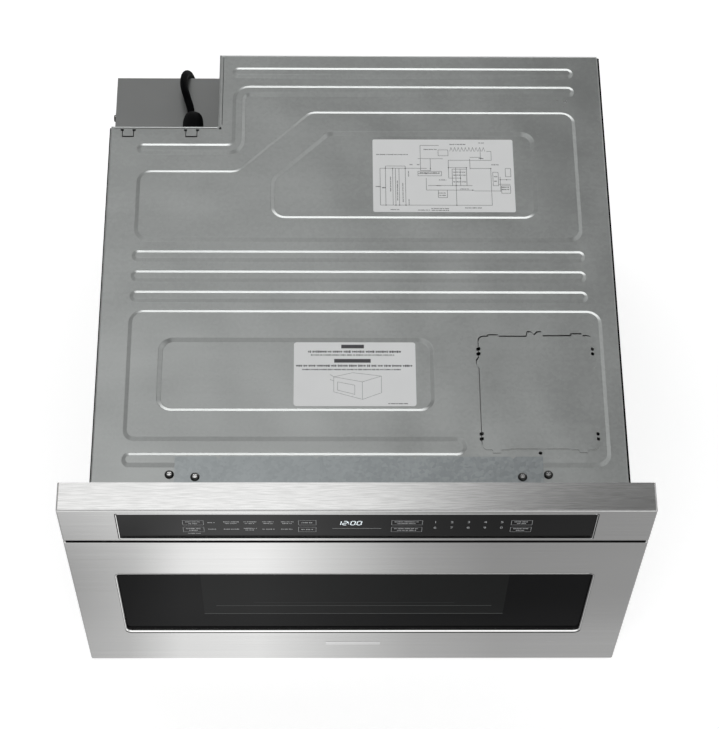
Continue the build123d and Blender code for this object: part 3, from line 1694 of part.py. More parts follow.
save("power_cord", power_cord())
save("cord_coil", cord_coil())
save("cord_tie", cord_tie())
save("mains_plug", mains_plug())
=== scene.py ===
import math
import random

import bmesh
import bpy
from mathutils import Matrix, Vector
from mathutils.geometry import delaunay_2d_cdt


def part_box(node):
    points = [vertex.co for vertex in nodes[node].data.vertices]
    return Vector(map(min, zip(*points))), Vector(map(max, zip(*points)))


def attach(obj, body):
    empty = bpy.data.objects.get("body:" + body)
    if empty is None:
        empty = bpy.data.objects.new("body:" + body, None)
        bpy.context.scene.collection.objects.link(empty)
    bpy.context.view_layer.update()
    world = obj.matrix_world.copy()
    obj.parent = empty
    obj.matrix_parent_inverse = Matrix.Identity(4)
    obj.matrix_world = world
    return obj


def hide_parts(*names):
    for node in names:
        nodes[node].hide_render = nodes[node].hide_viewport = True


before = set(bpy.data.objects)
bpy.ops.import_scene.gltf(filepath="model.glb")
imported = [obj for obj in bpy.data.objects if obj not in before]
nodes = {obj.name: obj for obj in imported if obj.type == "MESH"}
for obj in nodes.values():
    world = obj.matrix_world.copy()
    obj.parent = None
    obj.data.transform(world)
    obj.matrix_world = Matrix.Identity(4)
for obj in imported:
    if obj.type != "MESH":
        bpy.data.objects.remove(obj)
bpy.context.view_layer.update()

# ---------------------------------------------------------------- camera and studio
# The appliance is seen from above and in front, by a camera fitted to its outline in the
# photo. It stands on a pale floor, lit by three soft boxes and a pale surround. Metal mirrors
# a surround and a pool on the floor that are shaded for it alone.
camera_place = (-0.03673, -1.24325, 2.35977)
camera_pitch, camera_yaw, camera_roll = (math.radians(a) for a in (61.272, 2.116, 1.913))


def added(name, data):
    """New object in the scene."""
    made = bpy.data.objects.new(name, data)
    bpy.context.collection.objects.link(made)
    return made


def turn(angle):
    """Turn about the third axis, for the camera's yaw and roll."""
    c, s = math.cos(angle), math.sin(angle)
    return Matrix(((c, -s, 0), (s, c, 0), (0, 0, 1)))


pitched = Matrix((
    (1, 0, 0),
    (0, -math.sin(camera_pitch), -math.cos(camera_pitch)),
    (0, math.cos(camera_pitch), -math.sin(camera_pitch)),
))
right, down, forward = turn(camera_roll) @ pitched @ turn(camera_yaw)
camera = added("camera", bpy.data.cameras.new("camera"))
camera.data.lens = 107.03
camera.data.sensor_width = 36.0
camera.data.shift_y = 0.0487
facing = Matrix((right, -down, -forward)).transposed().to_quaternion()
camera.matrix_world = Matrix.LocRotScale(Vector(camera_place), facing, None)
scene = bpy.context.scene
scene.camera = camera
scene.view_settings.view_transform = "Standard"


class Value:
    """A socket of a shader. Sums and comparisons on it add Math nodes."""

    def __init__(self, socket):
        self.socket = socket
        self.tree = socket.id_data

    def node(self, kind, settings, inputs, output=0):
        """Any other node: its settings first, then the values or links of its sockets."""
        made = self.tree.nodes.new(kind)
        for name, setting in settings.items():
            if name == "stops":
                ramp = made.color_ramp.elements
                while len(ramp) < len(setting):
                    ramp.new(1.0)
                for stop, (place, shade) in zip(ramp, setting):
                    stop.position = place
                    stop.color = (shade, shade, shade, 1) if isinstance(shade, float) else shade
            else:
                setattr(made, name, setting)
        for name, given in inputs.items():
            if isinstance(given, Value):
                self.tree.links.new(given.socket, made.inputs[name])
            else:
                made.inputs[name].default_value = given
        return Value(made.outputs[output])

    def sum(self, operation, *others):
        """Math node on the value and the others."""
        values = dict(enumerate((self, *others)))
        return self.node("ShaderNodeMath", {"operation": operation}, values)

    def __add__(self, other):
        return self.sum("ADD", other)

    def __mul__(self, other):
        return self.sum("MULTIPLY", other)

    def __sub__(self, other):
        return self.sum("SUBTRACT", other)

    def __rsub__(self, other):
        return self * -1.0 + other

    def __gt__(self, other):
        return self.sum("GREATER_THAN", other)

    def __lt__(self, other):
        return self.sum("LESS_THAN", other)

    __radd__ = __add__
    __rmul__ = __mul__

    def axes(self):
        """The three parts of a vector."""
        first = self.node("ShaderNodeSeparateXYZ", {}, {0: self})
        return [Value(socket) for socket in first.socket.node.outputs]

    def stretched(self, x, y, z):
        """A place scaled along each axis, so that a pattern on it runs in lines."""
        settings = {"operation": "MULTIPLY"}
        return self.node("ShaderNodeVectorMath", settings, {0: self, 1: (x, y, z)})

    def noise(self, scale, detail=2.0, roughness=0.5):
        inputs = {"Vector": self, "Scale": scale, "Detail": detail, "Roughness": roughness}
        return self.node("ShaderNodeTexNoise", {}, inputs)

    def ramp(self, *stops):
        """The value run through a ramp of places and shades or colours."""
        return self.node("ShaderNodeValToRGB", {"stops": stops}, {0: self})

    def spread(self, low, high, new_low, new_high):
        """The stretch from low to high, smoothly spread from new_low to new_high."""
        inputs = {0: self, 1: low, 2: high, 3: new_low, 4: new_high}
        return self.node("ShaderNodeMapRange", {"interpolation_type": "SMOOTHSTEP"}, inputs)

    def rise(self, low, high):
        """0 up to low and 1 from high."""
        return self.spread(low, high, 0.0, 1.0)

    def fall(self, low, high):
        """1 up to low and 0 from high."""
        return self.spread(low, high, 1.0, 0.0)

    def toward(self, level, share):
        """The value moved towards level by the share."""
        return self + share * (level - self)

    def tint(self, low, high):
        """Mix of two colours by the value; each is an RGB triple or another socket."""
        low, high = (c if isinstance(c, Value) else (*c, 1.0) for c in (low, high))
        return self.node("ShaderNodeMix", {"data_type": "RGBA"}, {0: self, 6: low, 7: high}, 2)


world = bpy.data.worlds.new("surround")
scene.world = world
world.use_nodes = True
world_tree = world.node_tree
world_coords = Value(world_tree.nodes.new("ShaderNodeTexCoord").outputs["Generated"])
across, along, height = world_coords.axes()
light_path = world_tree.nodes.new("ShaderNodeLightPath").outputs

# what polished metal mirrors: a bright overhead that falls off to the right, darker low down
ahead = along.rise(0.25, 0.38)
high = height.spread(0.70, 0.90, 0.37, 1.0) + height.spread(0.87, 0.92, 0.0, 0.45) * ahead
dark_right = across.spread(0.02, 0.11, 0.0, 0.97) * height.rise(0.884, 0.900) * ahead
rear_left = across.spread(-0.20, 0.06, 0.56, 0.0) * height.fall(0.76, 0.88)
surround = across.spread(-0.02, 0.17, 1.20, 0.30) * high * (1 - dark_right) * (1 - rear_left)

# softer shades on both sides, and low down at the right, for the slopes that face there
sideways = across * across
aside = sideways.rise(0.10, 0.26) * height.rise(0.45, 0.60)
surround = surround.toward(across.spread(-0.3, 0.3, 0.68, 0.80), aside)
front_right = height.rise(0.70, 0.80) * height.fall(0.88, 0.94) * across.rise(0.20, 0.35)
surround = surround.toward(across.spread(0.40, 0.72, 1.5, 0.8), front_right * (1 - ahead))
right_low = height.rise(0.36, 0.46) * height.fall(0.58, 0.68) * ahead * across.rise(0.62, 0.76)
surround = surround.toward(1.35, right_low)

# a bright low window behind, whose light draws the lines along the ribs, and a low front light
low = height.fall(0.38, 0.54)
surround = surround.toward(0.62, low * along.rise(0.3, 0.6))
rear_window = low * along.rise(0.62, 0.80) * across.rise(-0.30, -0.10)
surround = surround.toward(across.spread(-0.5, 0.5, 3.4, 2.8), rear_window)
surround = surround.toward(1.3, height.fall(0.40, 0.62) * along.fall(-0.5, -0.2))
front_high = along.fall(0.0, 0.33) * height.rise(0.55, 0.75)
edge_on = sideways.rise(0.42, 0.58) * height.fall(0.28, 0.42)
surround = surround * (1 - front_high * 0.30) * (1 - edge_on * 0.30)
soft_fill = 0.42
seen = Value(light_path["Is Camera Ray"])
mirrored = Value(light_path["Is Glossy Ray"])
through = Value(light_path["Is Transmission Ray"])
lit = mirrored * surround + through + (1 - mirrored) * (1 - through) * soft_fill
strength = seen + (1 - seen) * lit
world_tree.links.new(strength.socket, world_tree.nodes["Background"].inputs["Strength"])
world_tree.nodes["Background"].inputs["Color"].default_value = (1, 1, 1, 1)

# soft boxes, unseen by the camera and by metal: at the rear left, in front, and at the right
for name, place, size, power in (
    ("rear_left_box", (-1.0, 1.3, 2.4), (1.7, 1.7), 9.0),
    ("front_box", (-0.4, -2.6, 2.6), (2.4, 1.6), 16.0),
    ("side_box", (2.6, -0.4, 1.8), (1.6, 1.6), 8.0),
):
    light = bpy.data.lights.new(name, "AREA")
    light.shape = "RECTANGLE"
    light.size, light.size_y = size
    light.energy = power
    lamp = added(name, light)
    lamp.location = place
    aim = Vector((0, 0, 0.2)) - Vector(place)
    lamp.rotation_euler = aim.to_track_quat("-Z", "Y").to_euler()
    lamp.visible_glossy = lamp.visible_camera = False

# pale floor; in metal it is a pool of light that is brightest left of the middle
floor_half = 6.0
floor_mesh = bpy.data.meshes.new("floor")
corners = [(x * floor_half, y * floor_half, 0) for x, y in ((-1, -1), (1, -1), (1, 1), (-1, 1))]
floor_mesh.from_pydata(corners, [], [(0, 1, 2, 3)])
floor = added("floor", floor_mesh)
floor_material = bpy.data.materials.new("floor")
floor_material.use_nodes = True
floor_tree = floor_material.node_tree
floor_coords = Value(floor_tree.nodes.new("ShaderNodeTexCoord").outputs["Object"])
floor_x, floor_y = floor_coords.axes()[:2]
pool = (floor_x + 0.35).ramp(
    (0.0, 0.32), (0.09, 0.50), (0.15, 0.87), (0.24, 0.94),
    (0.33, 0.62), (0.42, 0.37), (0.52, 0.27), (0.75, 0.30),
) * 1.4
pool = pool.toward(0.75, floor_y.spread(-0.37, -0.32, 0.0, 0.35))
pool = pool.toward(1.3, floor_y.rise(0.45, 0.9))
pool = pool + floor_y.spread(-0.50, -0.44, 0.40, 0.0) * floor_x.fall(-0.29, -0.20)
floor_paths = floor_tree.nodes.new("ShaderNodeLightPath").outputs
floor_shader = floor_tree.nodes["Principled BSDF"]
floor_shader.inputs["Base Color"].default_value = (0.93, 0.93, 0.93, 1)
floor_shader.inputs["Roughness"].default_value = 0.9
floor_shader.inputs["Emission Color"].default_value = (1, 1, 1, 1)
seen_glow = Value(floor_paths["Is Camera Ray"]) * 0.55
glow = floor_tree.nodes.new("ShaderNodeEmission")
blend = floor_tree.nodes.new("ShaderNodeMixShader")
for source, goal in (
    (seen_glow.socket, floor_shader.inputs["Emission Strength"]),
    (pool.socket, glow.inputs["Strength"]),
    (floor_paths["Is Glossy Ray"], blend.inputs[0]),
    (floor_shader.outputs[0], blend.inputs[1]),
    (glow.outputs[0], blend.inputs[2]),
    (blend.outputs[0], floor_tree.nodes["Material Output"].inputs["Surface"]),
):
    floor_tree.links.new(source, goal)
floor_mesh.materials.append(floor_material)

# ---------------------------------------------------------------- mains lead
# Three-core rubber lead, 8.5 mm thick. It leaves the strain relief, bends over the rear
# edge of the recess, drops behind the cabinet and ends in a neat coil held by a tie.
cord_thickness = 0.0085
coil_centre = Vector((-0.102, 0.3952))
coil_start_r = 0.0558125
coil_pitch = 0.0093
coil_layer = 0.0091
coil_low = 0.00505
coil_turns = 2.25
points_a_turn = 16
gland_exit = (-0.1846, 0.2268, 0.3495)
lead_route = [
    gland_exit,
    (-0.1852, 0.2352, 0.3497),
    (-0.1906, 0.2530, 0.3510),
    (-0.1952, 0.2712, 0.3492),
    (-0.1945, 0.2902, 0.3428),
    (-0.1905, 0.3037, 0.3268),
    (-0.1868, 0.3084, 0.2998),
    (-0.1825, 0.3115, 0.2580),
    (-0.1770, 0.3122, 0.1830),
    (-0.1700, 0.3132, 0.1180),
    (-0.1620, 0.3152, 0.0740),
    (-0.1578, 0.3182, 0.0330),
    (-0.1578, 0.3467, 0.0052),
]


def coil_point(turns):
    """Point of the coil: inwards for 1.25 turns, then outwards on top of them."""
    inward = min(turns, 1.25)
    radius = coil_start_r - coil_pitch * (inward - (turns - inward))
    climb = min(max((turns - 1.0) / 0.5, 0.0), 1.0)
    z = coil_low + coil_layer * (1 - math.cos(math.pi * climb)) / 2
    angle = math.pi - 2 * math.pi * turns
    x, y = coil_centre
    return (x + radius * math.cos(angle), y + radius * math.sin(angle), z)


count = int(coil_turns * points_a_turn)
coil_route = [coil_point(n / points_a_turn) for n in range(count + 1)]
tail_x, tail_y, tail_z = coil_route[-1]
coil_start = coil_route[0]
lead_join = (coil_start[0], coil_start[1] - cord_thickness, coil_start[2])
tail_length = 0.046
whole_route = [*lead_route, lead_join, *coil_route, (tail_x + tail_length, tail_y, tail_z)]


def spline(name, points, thickness):
    """Round cord on one smooth NURBS line through the given control points."""
    curve = bpy.data.curves.new(name, "CURVE")
    curve.dimensions = "3D"
    line = curve.splines.new("NURBS")
    line.points.add(len(points) - 1)
    for point, place in zip(line.points, points):
        point.co = (*place, 1.0)
    line.order_u = 3
    line.use_endpoint_u = True
    line.resolution_u = 6
    curve.bevel_depth = thickness / 2
    curve.bevel_resolution = 6
    curve.use_fill_caps = True
    return added(name, curve)


def swept(name, rings, material, closed=False):
    """Skin over rings of points, joined one to the next, and its last to its first or capped."""
    size = len(rings[0])
    faces = []
    for k in range(len(rings) - (0 if closed else 1)):
        first, second = k * size, (k + 1) % len(rings) * size
        for n in range(size):
            m = (n + 1) % size
            faces.append((first + n, first + m, second + m, second + n))
    if not closed:
        last = (len(rings) - 1) * size
        faces += [tuple(reversed(range(size))), tuple(range(last, last + size))]
    mesh = bpy.data.meshes.new(name)
    mesh.from_pydata([point for ring in rings for point in ring], [], faces)
    mesh.materials.append(material)
    made = bmesh.new()
    made.from_mesh(mesh)
    bmesh.ops.recalc_face_normals(made, faces=made.faces)
    made.to_mesh(mesh)
    made.free()
    return added(name, mesh)


def fit(piece, body, slot, *stands_for):
    """Fix the piece to its body and hide the CAD nodes that it stands for; slot is not used."""
    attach(piece, body)
    if stands_for:
        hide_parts(*stands_for)


def finish(name):
    """New material, with the place on the object in metres."""
    material = bpy.data.materials.new(name)
    material.use_nodes = True
    place = material.node_tree.nodes.new("ShaderNodeTexCoord").outputs["Object"]
    return material, Value(place)


def shade(material, fixed, varying, bump=None, depth=0.0):
    """Fixed numbers on the shader's own sockets, then what varies over the surface."""
    tree = material.node_tree
    shader = tree.nodes["Principled BSDF"]
    for name, given in fixed.items():
        shader.inputs[name].default_value = given
    if bump is not None:
        inputs = {"Height": bump, "Distance": depth, "Strength": 1.0}
        varying = {**varying, "Normal": bump.node("ShaderNodeBump", {}, inputs)}
    for name, given in varying.items():
        tree.links.new(given.socket, shader.inputs[name])


metal = {"Metallic": 1.0}


def coat(
    name, fixed, low, high, noise, roughness, *, rough=None, relief=None, depth=0.0, stretch=None
):
    """Finish with a colour from low to high and a roughness, (least, span), that follow noises.

    The colour's noise serves the roughness too, unless rough gives that its own. A finish
    with a depth has the roughness's noise as its relief, unless relief gives that its own.
    """
    material, at = finish(name)
    if stretch:
        at = at.stretched(*stretch)
    mask = at.noise(*noise)
    rough_mask = at.noise(*rough) if rough else mask
    least, span = roughness
    varying = {"Base Color": mask.tint(low, high), "Roughness": rough_mask * span + least}
    bump = None
    if depth:
        bump = at.noise(*relief) if relief else rough_mask
    shade(material, fixed, varying, bump, depth)
    return material


def paint(material, *names):
    """Give every slot of these CAD nodes the material."""
    for name in names:
        mesh = nodes[name].data
        mesh.materials.clear()
        mesh.materials.append(material)


rubber, at = finish("lead_rubber")
scuffs = at.noise(60.0, 3.0)
dull_black = scuffs.rise(0.35, 0.75).tint((0.0025, 0.0025, 0.003), (0.006, 0.006, 0.0065))
varying = {"Base Color": dull_black, "Roughness": scuffs * 0.2 + 0.34}
shade(rubber, {"Specular IOR Level": 0.006}, varying, at.noise(2600.0, 1.0), 0.00004)
lead = spline("mains_lead", whole_route, cord_thickness)
lead.data.materials.append(rubber)
fit(lead, "cabinet", "cord_rubber", "power_cord", "cord_coil")

# The plug is moulded onto the lead's end in the same black rubber, with plated blades. The
# strap around the coil is black nylon, and the strain relief is a rounded black bushing,
# pressed into the recess's wall with the lead a little left of its middle.
moulded = coat(
    "black_moulding", {"Specular IOR Level": 0.02}, (0.003, 0.003, 0.0034), (0.007, 0.007, 0.0074),
    (90.0,), (0.36, 0.2), rough=(1500.0, 2.0), depth=0.00008,
)
plated_brass, at = finish("plated_blades")
shade(plated_brass, metal, {
    "Base Color": at.noise(400.0).tint((0.62, 0.60, 0.55), (0.74, 0.72, 0.66)),
    "Roughness": at.stretched(1, 8, 8).noise(900.0) * 0.2 + 0.18,
})
paint(moulded, "cord_tie", "mains_plug")
gland_x, gland_foot, gland_z = -0.1822, 0.1935, 0.3495
gland_r, gland_end_r, gland_straight, gland_rounding = 0.0118, 0.0076, 0.0190, 0.0143
gland_steps, gland_sides = 8, 40
gland_profile = [(0.0, gland_r), (gland_straight, gland_r)]
for n in range(1, gland_steps + 1):
    angle = math.pi / 2 * n / gland_steps
    reach = gland_straight + gland_rounding * math.sin(angle)
    gland_profile.append((reach, gland_end_r + (gland_r - gland_end_r) * math.cos(angle)))
gland_rings = []
for reach, r in gland_profile:
    turns = (2 * math.pi * n / gland_sides for n in range(gland_sides))
    gland_rings.append([
        (gland_x + r * math.cos(a), gland_foot + reach, gland_z + r * math.sin(a)) for a in turns
    ])
gland = swept("gland", gland_rings, moulded)
fit(gland, "cabinet", "black_plastic", "strain_relief")
plug = nodes["mains_plug"]
plug.data.materials.append(plated_brass)
blade_length = 0.0175
blade_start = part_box("mains_plug")[1].x - blade_length
for face in plug.data.polygons:
    if face.center.x > blade_start:
        face.material_index = 1

# ---------------------------------------------------------------- stainless front
# Control panel and drawer front: 1 mm stainless sheet with a fine horizontal grain, folded
# back at every edge and around both openings. They are the CAD's own panels.


def brushed(name, streaks, share, ends, low, high, roughness):
    """Stainless with a fine grain, that has the given share in its shade, and broader streaks."""
    material, at = finish(name)
    grain = at.stretched(6, 900, 900).noise(4.0, 3.0, 0.65)
    stretch, scale = streaks
    mask = grain * share + at.stretched(*stretch).noise(scale, 2.0) * (1 - share)
    least, span = roughness
    varying = {"Base Color": mask.rise(*ends).tint(low, high), "Roughness": grain * span + least}
    shade(material, metal, varying, grain, 0.000005)
    return material


stainless = brushed(
    "brushed_stainless", ((1.2, 160, 160), 3.0), 0.5, (0.3, 0.7),
    (0.63, 0.63, 0.625), (0.68, 0.68, 0.675), (0.20, 0.10),
)
paint(stainless, "control_fascia", "drawer_front")
# The fascia's upward faces get a darker, smoother copy of the stainless: the darker colour is
# painted shade on the top, and the lower roughness is a smoother finish.
shaded_top_stainless = brushed(
    "brushed_top_shaded", ((12, 230, 230), 4.0), 0.3, (0.35, 0.65),
    (0.52, 0.52, 0.515), (0.63, 0.63, 0.625), (0.10, 0.08),
)
fascia = nodes["control_fascia"].data
fascia.materials.append(shaded_top_stainless)
top_facing = 0.95
for face in fascia.polygons:
    if face.normal.z > top_facing:
        face.material_index = 1

# Small bar on the drawer front, chromed and plain, with a ridge along its lower edge.
chrome = coat(
    "badge_chrome", metal, (0.80, 0.80, 0.80), (0.88, 0.88, 0.88),
    (200.0,), (0.06, 0.08), rough=(500.0,),
)
paint(chrome, "badge_plate")

# Black strip along the folded top edge of the drawer front. It fills the gap under the control
# panel when the drawer is shut, as painted shade for the dark gap there.
shade_strip_finish = coat(
    "black_shade_strip", {"Specular IOR Level": 0.03}, (0.003, 0.003, 0.003), (0.006, 0.006, 0.006),
    (1800.0, 2.0), (0.8, 0.1), depth=0.0001,
)
panel_low, panel_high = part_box("control_fascia")
shade_strip_inset, shade_strip_round = 0.0032, 0.0007
shade_strip_front, shade_strip_back = panel_low.y - 0.00025, panel_low.y + 0.006
shade_strip_foot, shade_strip_top = panel_low.z - 0.0039, panel_low.z - 0.0004
shade_strip_section = [(shade_strip_back, shade_strip_top), (shade_strip_back, shade_strip_foot)]
for middle_z, first_turn in ((shade_strip_foot + shade_strip_round, 3), (shade_strip_top - shade_strip_round, 2)):
    for n in range(5):
        angle = math.pi / 2 * (first_turn - n / 4)
        shade_strip_section.append((
            shade_strip_front + shade_strip_round + shade_strip_round * math.cos(angle),
            middle_z + shade_strip_round * math.sin(angle),
        ))
shade_strip_ends = (panel_low.x + shade_strip_inset, panel_high.x - shade_strip_inset)
shade_strip_rings = [[(x, y, z) for y, z in shade_strip_section] for x in shade_strip_ends]
fit(swept("panel_shade_strip", shade_strip_rings, shade_strip_finish), "drawer", "black_plastic")

# The edges of both openings are rolled over the glass and polished, and coloured brighter than
# the front as a painted highlight along them. A black ring around the window's glass, widest
# along its lower edge, is painted shade for the groove there.
polished_highlight = coat(
    "polished_edge_highlight", metal, (0.76, 0.76, 0.755), (0.86, 0.86, 0.855), (600.0, 2.0), (0.08, 0.08)
)
corner_steps = 8


def rounded(half, z0, z1, radius, y):
    """Points around an upright rectangle with rounded corners, at the depth y."""
    ring = []
    for x, z, start in (
        (half - radius, z0 + radius, 3), (half - radius, z1 - radius, 0),
        (radius - half, z1 - radius, 1), (radius - half, z0 + radius, 2),
    ):
        for n in range(corner_steps + 1):
            angle = math.pi / 2 * (start + n / corner_steps)
            ring.append((x + radius * math.cos(angle), y, z + radius * math.sin(angle)))
    return ring


def edge_ring(name, opening, section, material):
    """Ring around an opening; a section line gives the ways out at the sides, foot and head."""
    half, z0, z1, radius = opening
    rings = []
    for side, foot, head, depth in section:
        corner = max(radius + side, 0.0004)
        rings.append(rounded(half + side, z0 - foot, z1 + head, corner, panel_low.y + depth))
    return swept(name, rings, material, closed=True)


def opening_of(node, overlap, radius):
    """Opening in front of a pane: half its width, its foot, its head and its corners' radius."""
    low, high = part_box(node)
    return (high.x - overlap, low.z + overlap, high.z - overlap, radius)


window_opening = opening_of("window_glass", 0.006, 0.007)
touch_opening = opening_of("control_glass", 0.003, 0.0025)
window_lip = edge_ring("window_lip", window_opening, (
    (-0.0010, -0.0016, -0.0003, 0.0012), (-0.0010, -0.0015, -0.0003, 0.0009),
    (-0.0004, -0.0003, 0.0001, -0.0002), (0.0002, 0.0002, 0.0004, -0.0004),
    (0.0007, 0.0006, 0.0007, -0.0002), (0.0009, 0.0008, 0.0009, 0.0003),
), polished_highlight)
# black ring around the window's glass, widest at its foot: painted shade in the groove there
window_shade_ring = edge_ring("window_shade_ring", window_opening, (
    (0.0007, 0.0006, 0.0007, 0.0003), (0.0007, 0.0006, 0.0007, -0.00015),
    (0.0010, 0.0032, 0.0010, -0.00015), (0.0010, 0.0034, 0.0010, 0.0003),
), shade_strip_finish)
touch_lip = edge_ring("touch_strip_lip", touch_opening, (
    (-0.0007, -0.0011, -0.0004, 0.0012), (-0.0007, -0.0011, -0.0004, -0.0001),
    (-0.0004, -0.0007, -0.0002, -0.0003), (-0.0001, -0.0001, -0.0001, -0.0004),
    (0.0002, 0.0003, 0.0002, 0.0003),
), polished_highlight)
fit(window_lip, "drawer", "stainless_front")
fit(window_shade_ring, "drawer", "black_plastic")
fit(touch_lip, "cabinet", "stainless_front")

# Black glass of the touch strip and of the drawer window, 3.2 and 4 mm thick, painted black
# behind. Both are opaque: the window's middle is painted a lighter grey for the lit screening
# sheet seen through it, and thin painted highlights stand for edges inside the drawer.
black_glass = coat(
    "black_glass", {"IOR": 1.5, "Specular IOR Level": 0.09},
    (0.0025, 0.0025, 0.0027), (0.0045, 0.0045, 0.0048), (9.0, 3.0), (0.03, 0.06),
)
paint(black_glass, "control_glass")
window, at = finish("window_glass")
x, y, z = at.axes()
screen_low, screen_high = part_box("window_screen")
painted_edge = 0.012
clear_half, clear_low = screen_high.x - painted_edge - 0.001, screen_low.z + 0.0052
clear = (x > -clear_half) * (x < clear_half)
clear = clear * (z > clear_low) * (z < screen_high.z - painted_edge)


def painted_glint_line(low, half, width):
    """A thin bright line across the window at the height low: a painted highlight on an edge inside
    the drawer.
    """
    return (z > low) * (z < low + width) * (x > -half) * (x < half)


painted_glints = painted_glint_line(clear_low, clear_half, 0.0013) + painted_glint_line(0.1478, 0.152, 0.0013) * 0.65
painted_glints = painted_glints + painted_glint_line(0.1560, 0.110, 0.0010) * 0.2
smears = at.noise(9.0, 3.0)
behind_glass = smears.tint((0.006, 0.006, 0.0065), (0.009, 0.009, 0.0095))
painted_screen_view = clear.tint(behind_glass, (0.0165, 0.0170, 0.0170))
shade(window, {"IOR": 1.5, "Specular IOR Level": 0.015}, {
    "Base Color": painted_glints.tint(painted_screen_view, (0.120, 0.126, 0.124)),
    "Roughness": smears * 0.06 + 0.03,
})
paint(window, "window_glass")

# Screening sheet: thin steel, painted dark grey, with close rows of small holes drawn as
# near-black dots: painted shade for the dark seen through the holes.
screen, at = finish("screen_with_shaded_holes")
hole_pitch, hole_share = 0.0022, 0.33
rows = at.stretched(1 / hole_pitch, 0, 1 / hole_pitch)
hole_distance = rows.node("ShaderNodeTexVoronoi", {}, {"Vector": rows, "Scale": 1.0, "Randomness": 0.0})
web = hole_distance > hole_share
shade(screen, {"Specular IOR Level": 0.4}, {
    "Base Color": web.tint((0.010, 0.010, 0.010), (0.085, 0.088, 0.088)),
    "Roughness": at.noise(700.0) * 0.2 + 0.45,
}, web, 0.0002)
paint(screen, "window_screen")
paint(moulded, "window_spacer", "choke_cover")

# ---------------------------------------------------------------- print on the touch strip
# The legends are pale grey ink on the glass. They are wordless bars in frames, with the plain
# numbers of the number keys; the clock behind the glass glows pale blue.


def ink_of(name, scale, low, high, roughness):
    """Ink with one roughness all over."""
    material, at = finish(name)
    shade(material, {"Roughness": roughness}, {"Base Color": at.noise(scale).tint(low, high)})
    return material


ink = ink_of("pale_ink", 800.0, (0.50, 0.51, 0.52), (0.62, 0.63, 0.64), 0.6)
glow_ink, at = finish("clock_light")
flicker = at.noise(300.0)
shade(glow_ink, {"Roughness": 0.4, "Emission Strength": 1.0}, {
    "Base Color": flicker.tint((0.50, 0.53, 0.55), (0.60, 0.63, 0.65)),
    "Emission Color": flicker.tint((0.62, 0.70, 0.74), (0.74, 0.82, 0.86)),
})
pick = random.Random(7)


def bars(name, strokes, place, thickness, material):
    """Closed flat bars of ink along strokes (x0, y0, x1, y1, width), set by place(x, y, rise)."""
    points, faces = [], []
    for x0, y0, x1, y1, width in strokes:
        along = Vector((x1 - x0, y1 - y0)).normalized()
        aside = Vector((-along.y, along.x)) * width / 2
        a, b = Vector((x0, y0)), Vector((x1, y1))
        ring = [a - aside, b - aside, b + aside, a + aside]
        first = len(points)
        points += [place(*corner, 0.0) for corner in ring]
        points += [place(*corner, thickness) for corner in ring]
        sides = [(0, 3, 2, 1), (4, 5, 6, 7)]
        sides += [(0, 1, 5, 4), (1, 2, 6, 5), (2, 3, 7, 6), (3, 0, 4, 7)]
        faces += [tuple(first + i for i in side) for side in sides]
    mesh = bpy.data.meshes.new(name)
    mesh.from_pydata(points, [], faces)
    mesh.materials.append(material)
    return added(name, mesh)


def greek(x, y, length, height):
    """A line of wordless print, as short bars, from x and centred on y."""
    strokes = []
    end = x + length
    while x < end:
        for _ in range(pick.randint(2, 7)):
            width = height * pick.choice((0.45, 0.6, 0.75))
            tall = height * pick.choice((0.7, 0.85, 1.0))
            if x + width > end:
                break
            strokes.append((x, y, x + width, y, tall))
            x += width + height * 0.22
        x += height * 0.45
    return strokes


def frame_of(x0, x1, y0, y1, width):
    """Four strokes of a printed frame."""
    sides = ((x0, y0, x1, y0), (x0, y1, x1, y1), (x0, y0, x0, y1), (x1, y0, x1, y1))
    return [(*side, width) for side in sides]


millimetre = 0.001
glass_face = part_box("control_glass")[0].y
ink_thickness, ink_sunk = 0.00004, 0.00001
print_drop = 5.2


def on_strip(x, z, rise):
    """Place on the touch strip, in millimetres from the front's middle and foot."""
    return (x * millimetre, glass_face - rise + ink_sunk, (z - print_drop) * millimetre)


small, large = 1.9, 2.2
legends = []
for x0, x1 in ((-177.5, -156.3), (-59.6, -41.7), (35.4, 66.7), (157.5, 178.8)):
    for z0, z1 in ((364.6, 375.2), (348.4, 359.4)):
        legends += frame_of(x0, x1, z0, z1, 0.35)
        middle, inset = (z0 + z1) / 2, 3.0
        start, room = x0 + inset, x1 - x0 - 2 * inset
        if x1 - x0 > 20:
            legends += greek(start, middle + 2.0, room, small)
            legends += greek(start + 3, middle - 2.0, room - 6, small)
        else:
            legends += greek(start, middle, room, large)
for x, length, upper_lines, lower_lines in (
    (-148, 8, 1, 1), (-128, 16, 2, 1), (-108.5, 14, 2, 2), (-90, 13, 2, 1), (-71, 13, 2, 1),
):
    for z, lines in ((370.0, upper_lines), (354.6, lower_lines)):
        for line in range(lines):
            width = length * (1.0 - 0.2 * line)
            rise = (lines - 1) * small - line * 2 * small
            legends += greek(x - width / 2, z + rise, width, small)
legends += greek(-173, 344.6, 14, 1.5)
legends_print = bars("touch_legends", legends, on_strip, ink_thickness, ink)

